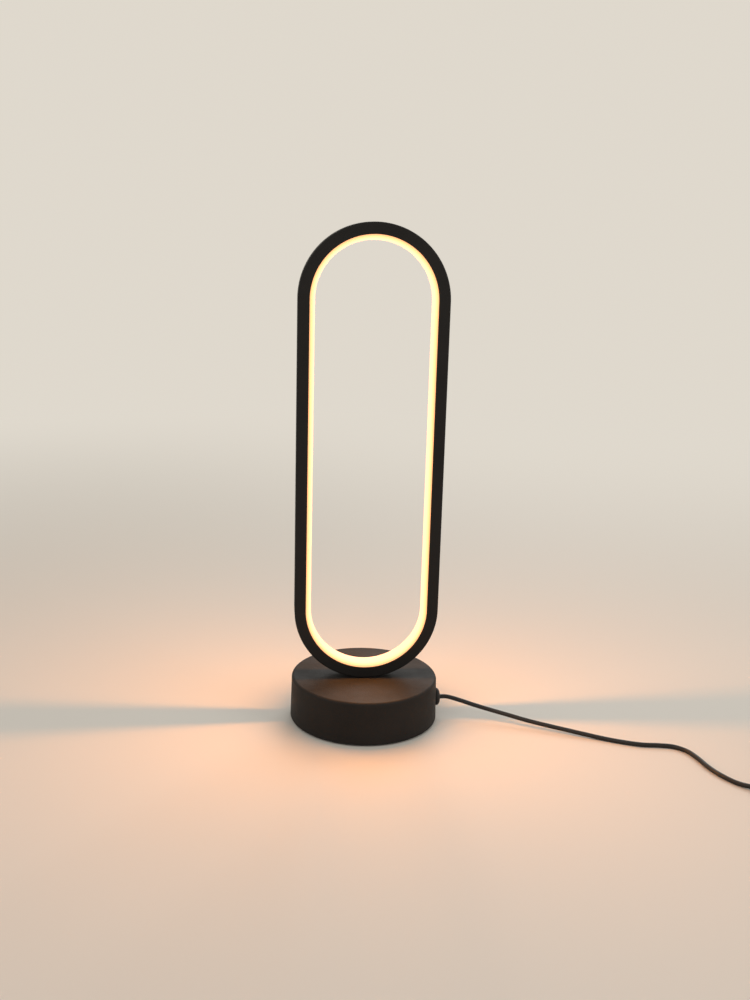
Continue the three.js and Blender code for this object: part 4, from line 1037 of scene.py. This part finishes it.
class LAMP_OT_plug(bpy.types.Operator):
    """Makes the plug's moulded grip with its tail, and its folded steel sleeve"""

    bl_idname = "lamp.plug"
    bl_label = "Plug"

    def execute(self, context):
        tail, face = TAIL_LENGTH, TAIL_LENGTH + sizes().plug_length
        width, height, corner, edge, flat = mm(13.5, 7.6, 2.6, 0.8, 2.2)
        levels = arc_corners([(flat, tail, 0.0), (0.0, tail, edge), (0.0, face, edge), (flat, face, 0.0)])
        grip = slab(width, height, corner, levels)
        narrow, widening, root, depth = mm(2.1, 0.8, 2.95, 0.4)
        starts = [(1.6 + 2.3 * i) * MM for i in range(3)]

        def radius_at(along):
            return narrow + widening * along / tail

        profile = [(0.0, 0.0), (narrow - 0.2 * MM, 0.0), (narrow, 0.2 * MM)]
        profile += grooves(starts, (0.0, 0.1, 0.8, 0.9), radius_at, depth)
        profile += [(root, tail + PAST), (0.0, tail + PAST)]
        grip = combined(grip, [turned_mesh(profile, SIDES)], "UNION")
        sleeve_width, sleeve_height, sleeve_wall, sleeve_corner, room = mm(12.0, 4.5, 0.4, 0.8, 0.3)
        start = face - 3.2 * MM
        end = start + 15.0 * MM
        levels = [(0.0, start - room), (0.0, face + PAST)]
        seat = slab(sleeve_width + 2 * room, sleeve_height + 2 * room, 1.0 * MM, levels)
        grip = moved(combined(grip, [seat]), along_plug())
        piece("plug_grip", grip, "moulded_rubber", ["plug_body"])
        rib = slab(*mm(8.0, 0.7, 0.3), [mm(0.0, 0.0), mm(0.0, 0.25), mm(0.15, 0.4)])
        first_rib = PLUG_TAIL + Vector((0.0, tail + 3.5 * MM, height / 2 - 0.15 * MM))
        ribs = row_of(rib, 6, first_rib, Vector(mm(0.0, 1.7, 0.0)), "moulded_rubber")
        piece("plug_ribs", ribs, "moulded_rubber")
        lead, edge = mm(0.15, 0.05)
        walls = [(0.0, start, edge), (0.0, end, lead), (sleeve_wall, end, lead), (sleeve_wall, start, edge)]
        walls = arc_corners(walls, steps=3, closed=True)
        sleeve = slab(sleeve_width, sleeve_height, sleeve_corner, walls, closed=True)
        upright = Matrix.Rotation(math.pi / 2, 4, "X")
        windows = []
        for side in (-1, 1):
            window = slab(*mm(2.1, 2.1, 0.2), [mm(0, -6), mm(0, 6)])
            place = Matrix.Translation((side * 3.0 * MM, 0.0, (face + end) / 2))
            windows.append(moved(window, place @ upright))
        sleeve = moved(combined(sleeve, windows), along_plug())
        piece("plug_sleeve", sleeve, "plated_steel", ["plug_shell"])
        return {"FINISHED"}


class LAMP_OT_coil_strap(bpy.types.Operator):
    """Makes the strap that hugs the coil's bundle, with its end laid over"""

    bl_idname = "lamp.coil_strap"
    bl_label = "Coil strap"

    def execute(self, context):
        thick, wide, edge = mm(0.6, 5.0, 0.2)
        reach = sizes().cord_diameter / 2 + STRAP_ROOM + thick / 2
        axis = Vector((*COIL_CENTRE, 0.0)) * MM
        to_place = Matrix.Translation(axis) @ Matrix.Rotation(2 * math.pi * TIE_ANGLE_SHARE, 4, "Z")
        bundle = []
        for turn in range(int(COIL_PASSES * COIL_TURNS)):
            point = coil_point(turn + TIE_ANGLE_SHARE) * MM - axis
            bundle.append(Vector((point.xy.length, point.z)))
        x, y = thick / 2, wide / 2
        corners = [(-x, -y, edge), (x, -y, edge), (x, y, edge), (-x, y, edge)]
        section = arc_corners(corners, steps=3, closed=True)
        rings = []
        for i in range(STRAP_STEPS):
            angle = 2 * math.pi * i / STRAP_STEPS
            out = Vector((math.cos(angle), math.sin(angle)))
            middle = max(bundle, key=out.dot) + out * reach
            ring = [(middle.x + away * out.x, across, middle.y + away * out.y) for away, across in section]
            rings.append(ring)
        mesh = moved(mesh_from(rings, closed=True), to_place)
        piece("coil_strap", mesh, "strap_weave", ["cord_tie"])
        end = slab(8.0 * MM, wide, 1.2 * MM, [mm(0.0, 0.0), mm(0.0, 0.4), mm(0.15, 0.55)])
        top = max(point.y for point in bundle) + reach + thick / 2 - 0.05 * MM
        lift = Matrix.Translation((COIL_MEAN_RADIUS * MM, 0.0, top))
        piece("coil_strap_end", moved(end, to_place @ lift), "strap_weave")
        return {"FINISHED"}


# What the frame's own nodes are finished in, by their material slots

SLOT_FINISHES = {
    "black_metal": "powder_coat",
    "steel": "plated_steel",
    "iron": "cast_iron",
    "foot_rubber": "foam_rubber",
    "grommet_rubber": "moulded_rubber",
    "cord_rubber": "cord_jacket",
    "black_plastic": "case_plastic",
    "grey_plastic": "clamp_plastic",
    "white_plastic": "pale_plastic",
    "board": "circuit_board",
    "brass": "bright_brass",
    "red_wire": "red_jacket",
    "black_wire": "black_jacket",
    "light": "frosted_light",
}


class LAMP_OT_inner_pieces(bpy.types.Operator):
    """Gives every carried-over piece of the frame its finish"""

    bl_idname = "lamp.inner_pieces"
    bl_label = "Inner pieces"

    def execute(self, context):
        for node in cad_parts.values():
            for slot in node.material_slots:
                slot.material = finish_named(SLOT_FINISHES[slot.material.name.split(".")[0]])
        return {"FINISHED"}


# Stage and camera

FLOOR_RADIUS = 8.0
# How far from the lamp the floor starts to fade into the background, and where it has done so
FADE_START, FADE_END = 0.35, 1.3
# Each light's name, place, target and side
STUDIO_LIGHTS = (
    ("key", (-1.1, -1.3, 1.5), (0.0, 0.0, 0.12), 1.3),
    ("fill", (1.5, -0.9, 0.9), (0.0, 0.0, 0.15), 1.2),
    ("rim", (0.5, 1.5, 1.1), (0.0, 0.0, 0.2), 1.0),
)
GLOW_WIDTH = 9.0 * MM
GLOW_CLEARANCE = 1.0 * MM
GLOW_ARC_STEPS = 8
CAMERA_PLACE = (-0.0642, -0.7090, 0.3298)
# In degrees
CAMERA_HEADING, CAMERA_PITCH, CAMERA_ROLL = 5.514, -13.863, 1.5955
CAMERA_LENS = 39.7


class LAMP_OT_stage(bpy.types.Operator):
    """Sets the pale floor, the soft lights and the camera"""

    bl_idname = "lamp.stage"
    bl_label = "Stage"

    def execute(self, context):
        context.scene.view_settings.view_transform = "Standard"
        make_floor()
        make_world()
        for name, place, target, side in STUDIO_LIGHTS:
            power = getattr(settings(), name)
            add_light(f"{name}_light", place, Vector(target) - Vector(place), size=side, energy=power)
        make_glow()
        make_camera()
        return {"FINISHED"}


def make_floor():
    """A wide floor that fades into the background far from the lamp."""
    work = bmesh.new()
    bmesh.ops.create_circle(work, cap_ends=True, radius=FLOOR_RADIUS, segments=96)
    mesh = bpy.data.meshes.new("floor")
    work.to_mesh(mesh)
    work.free()
    floor = loose("floor", mesh)
    finish = Finish("floor", settings().floor, 0.7)
    far = finish.node("Emission", {"Color": (*settings().horizon, 1.0)})
    distance = finish.node("VectorMath", {0: finish.place()}, operation="LENGTH")
    limits = {"Value": distance.outputs["Value"], "From Min": FADE_START, "From Max": FADE_END}
    fade = finish.node("MapRange", limits, interpolation_type="SMOOTHSTEP").outputs["Result"]
    mix = finish.node("MixShader", {0: fade, 1: finish.shader.outputs[0], 2: far.outputs[0]})
    finish.tree.links.new(mix.outputs[0], finish.tree.nodes["Material Output"].inputs["Surface"])
    mesh.materials.append(finish.material)


def make_world():
    """Even light all round. Camera, glossy and transmission rays see the pale background."""
    world = bpy.data.worlds.new("world")
    bpy.context.scene.world = world
    world.use_nodes = True
    tree = world.node_tree
    tree.nodes.clear()
    even = {"Color": (1.0, 0.98, 0.95, 1.0), "Strength": settings().sky}
    light = add_node(tree, "ShaderNodeBackground", even).outputs[0]
    seen = add_node(tree, "ShaderNodeBackground", {"Color": (*settings().horizon, 1.0)}).outputs[0]
    rays = add_node(tree, "ShaderNodeLightPath").outputs
    any_of = rays["Is Camera Ray"]
    for kind in ("Is Glossy Ray", "Is Transmission Ray"):
        any_of = add_node(tree, "ShaderNodeMath", {0: any_of, 1: rays[kind]}, operation="MAXIMUM").outputs[0]
    mix = add_node(tree, "ShaderNodeMixShader", {0: any_of, 1: light, 2: seen}).outputs[0]
    add_node(tree, "ShaderNodeOutputWorld", {"Surface": mix})


def aimed(name, data, place, ahead, roll=0.0):
    """A light or a camera at a place, looking along a direction and rolled by some degrees."""
    made = loose(name, data)
    made.location = place
    made.rotation_mode = "QUATERNION"
    turn = Quaternion((0.0, 0.0, 1.0), math.radians(roll))
    made.rotation_quaternion = ahead.to_track_quat("-Z", "Y") @ turn
    return made


def add_light(name, place, ahead, **values):
    light = bpy.data.lights.new(name, "AREA")
    for key, value in values.items():
        setattr(light, key, value)
    aimed(name, light, place, ahead)


def make_glow():
    """Warm lights just inside the light line, which throw its light on the base and the floor."""
    s = sizes()
    reach = s.ring_width / 2 - s.dome_foot - s.dome_rise - GLOW_CLEARANCE
    low_centre = s.base_height + s.ring_width / 2
    high_centre = s.base_height + s.ring_height - s.ring_width / 2
    middle = (low_centre + high_centre) / 2
    step = math.pi / GLOW_ARC_STEPS
    places = [(angle, middle, high_centre - low_centre) for angle in (0.0, math.pi)]
    for i in range(GLOW_ARC_STEPS):
        angle = step * (i + 0.5)
        places += [(angle, high_centre, step * reach), (-angle, low_centre, step * reach)]
    whole = sum(along for _, _, along in places)
    for i, (angle, centre, along) in enumerate(places):
        outwards = Vector((math.cos(angle), 0.0, math.sin(angle)))
        place = Vector((0.0, 0.0, centre)) + outwards * reach
        shape = {"shape": "RECTANGLE", "size": GLOW_WIDTH, "size_y": along, "color": settings().glow_colour}
        add_light(f"glow_{i}", place, -outwards, energy=settings().glow * along / whole, **shape)


def make_camera():
    """The camera at the photograph's viewing angle."""
    data = bpy.data.cameras.new("camera")
    data.lens = CAMERA_LENS
    data.sensor_width = 36.0
    data.clip_start = 0.01
    data.clip_end = 50.0
    heading, pitch = math.radians(CAMERA_HEADING), math.radians(CAMERA_PITCH)
    level = math.cos(pitch)
    ahead = Vector((math.sin(heading) * level, math.cos(heading) * level, math.sin(pitch)))
    bpy.context.scene.camera = aimed("camera", data, CAMERA_PLACE, ahead, CAMERA_ROLL)


# The add-on

STEPS = (
    LAMP_OT_stage,
    LAMP_OT_inner_pieces,
    LAMP_OT_ring_frame,
    LAMP_OT_light_line,
    LAMP_OT_ring_seat,
    LAMP_OT_base,
    LAMP_OT_cable_bush,
    LAMP_OT_switch_case,
    LAMP_OT_switch_screws,
    LAMP_OT_buttons,
    LAMP_OT_strain_reliefs,
    LAMP_OT_plug,
    LAMP_OT_coil_strap,
    LAMP_OT_cords,
)


class LAMP_PT_panel(bpy.types.Panel):
    """Lists the lamp's pieces and their sizes"""

    bl_idname = "LAMP_PT_panel"
    bl_label = "Ring table lamp"
    bl_space_type = "VIEW_3D"
    bl_region_type = "UI"
    bl_category = "Ring lamp"

    def draw(self, context):
        for group in (context.scene.lamp_sizes, context.scene.lamp_colours, context.scene.lamp_stage):
            box = self.layout.box()
            for key in group.__annotations__:
                box.prop(group, key)
        for step in STEPS:
            self.layout.operator(step.bl_idname)


CLASSES = (LampSizes, LampColours, StageSettings, *STEPS, LAMP_PT_panel)


def register():
    for kind in CLASSES:
        bpy.utils.register_class(kind)
    bpy.types.Scene.lamp_sizes = PointerProperty(type=LampSizes)
    bpy.types.Scene.lamp_colours = PointerProperty(type=LampColours)
    bpy.types.Scene.lamp_stage = PointerProperty(type=StageSettings)


def unregister():
    del bpy.types.Scene.lamp_stage
    del bpy.types.Scene.lamp_colours
    del bpy.types.Scene.lamp_sizes
    for kind in reversed(CLASSES):
        bpy.utils.unregister_class(kind)


def main():
    register()
    for step in STEPS:
        group, name = step.bl_idname.split(".")
        getattr(getattr(bpy.ops, group), name)()


if __name__ == "__main__":
    main()
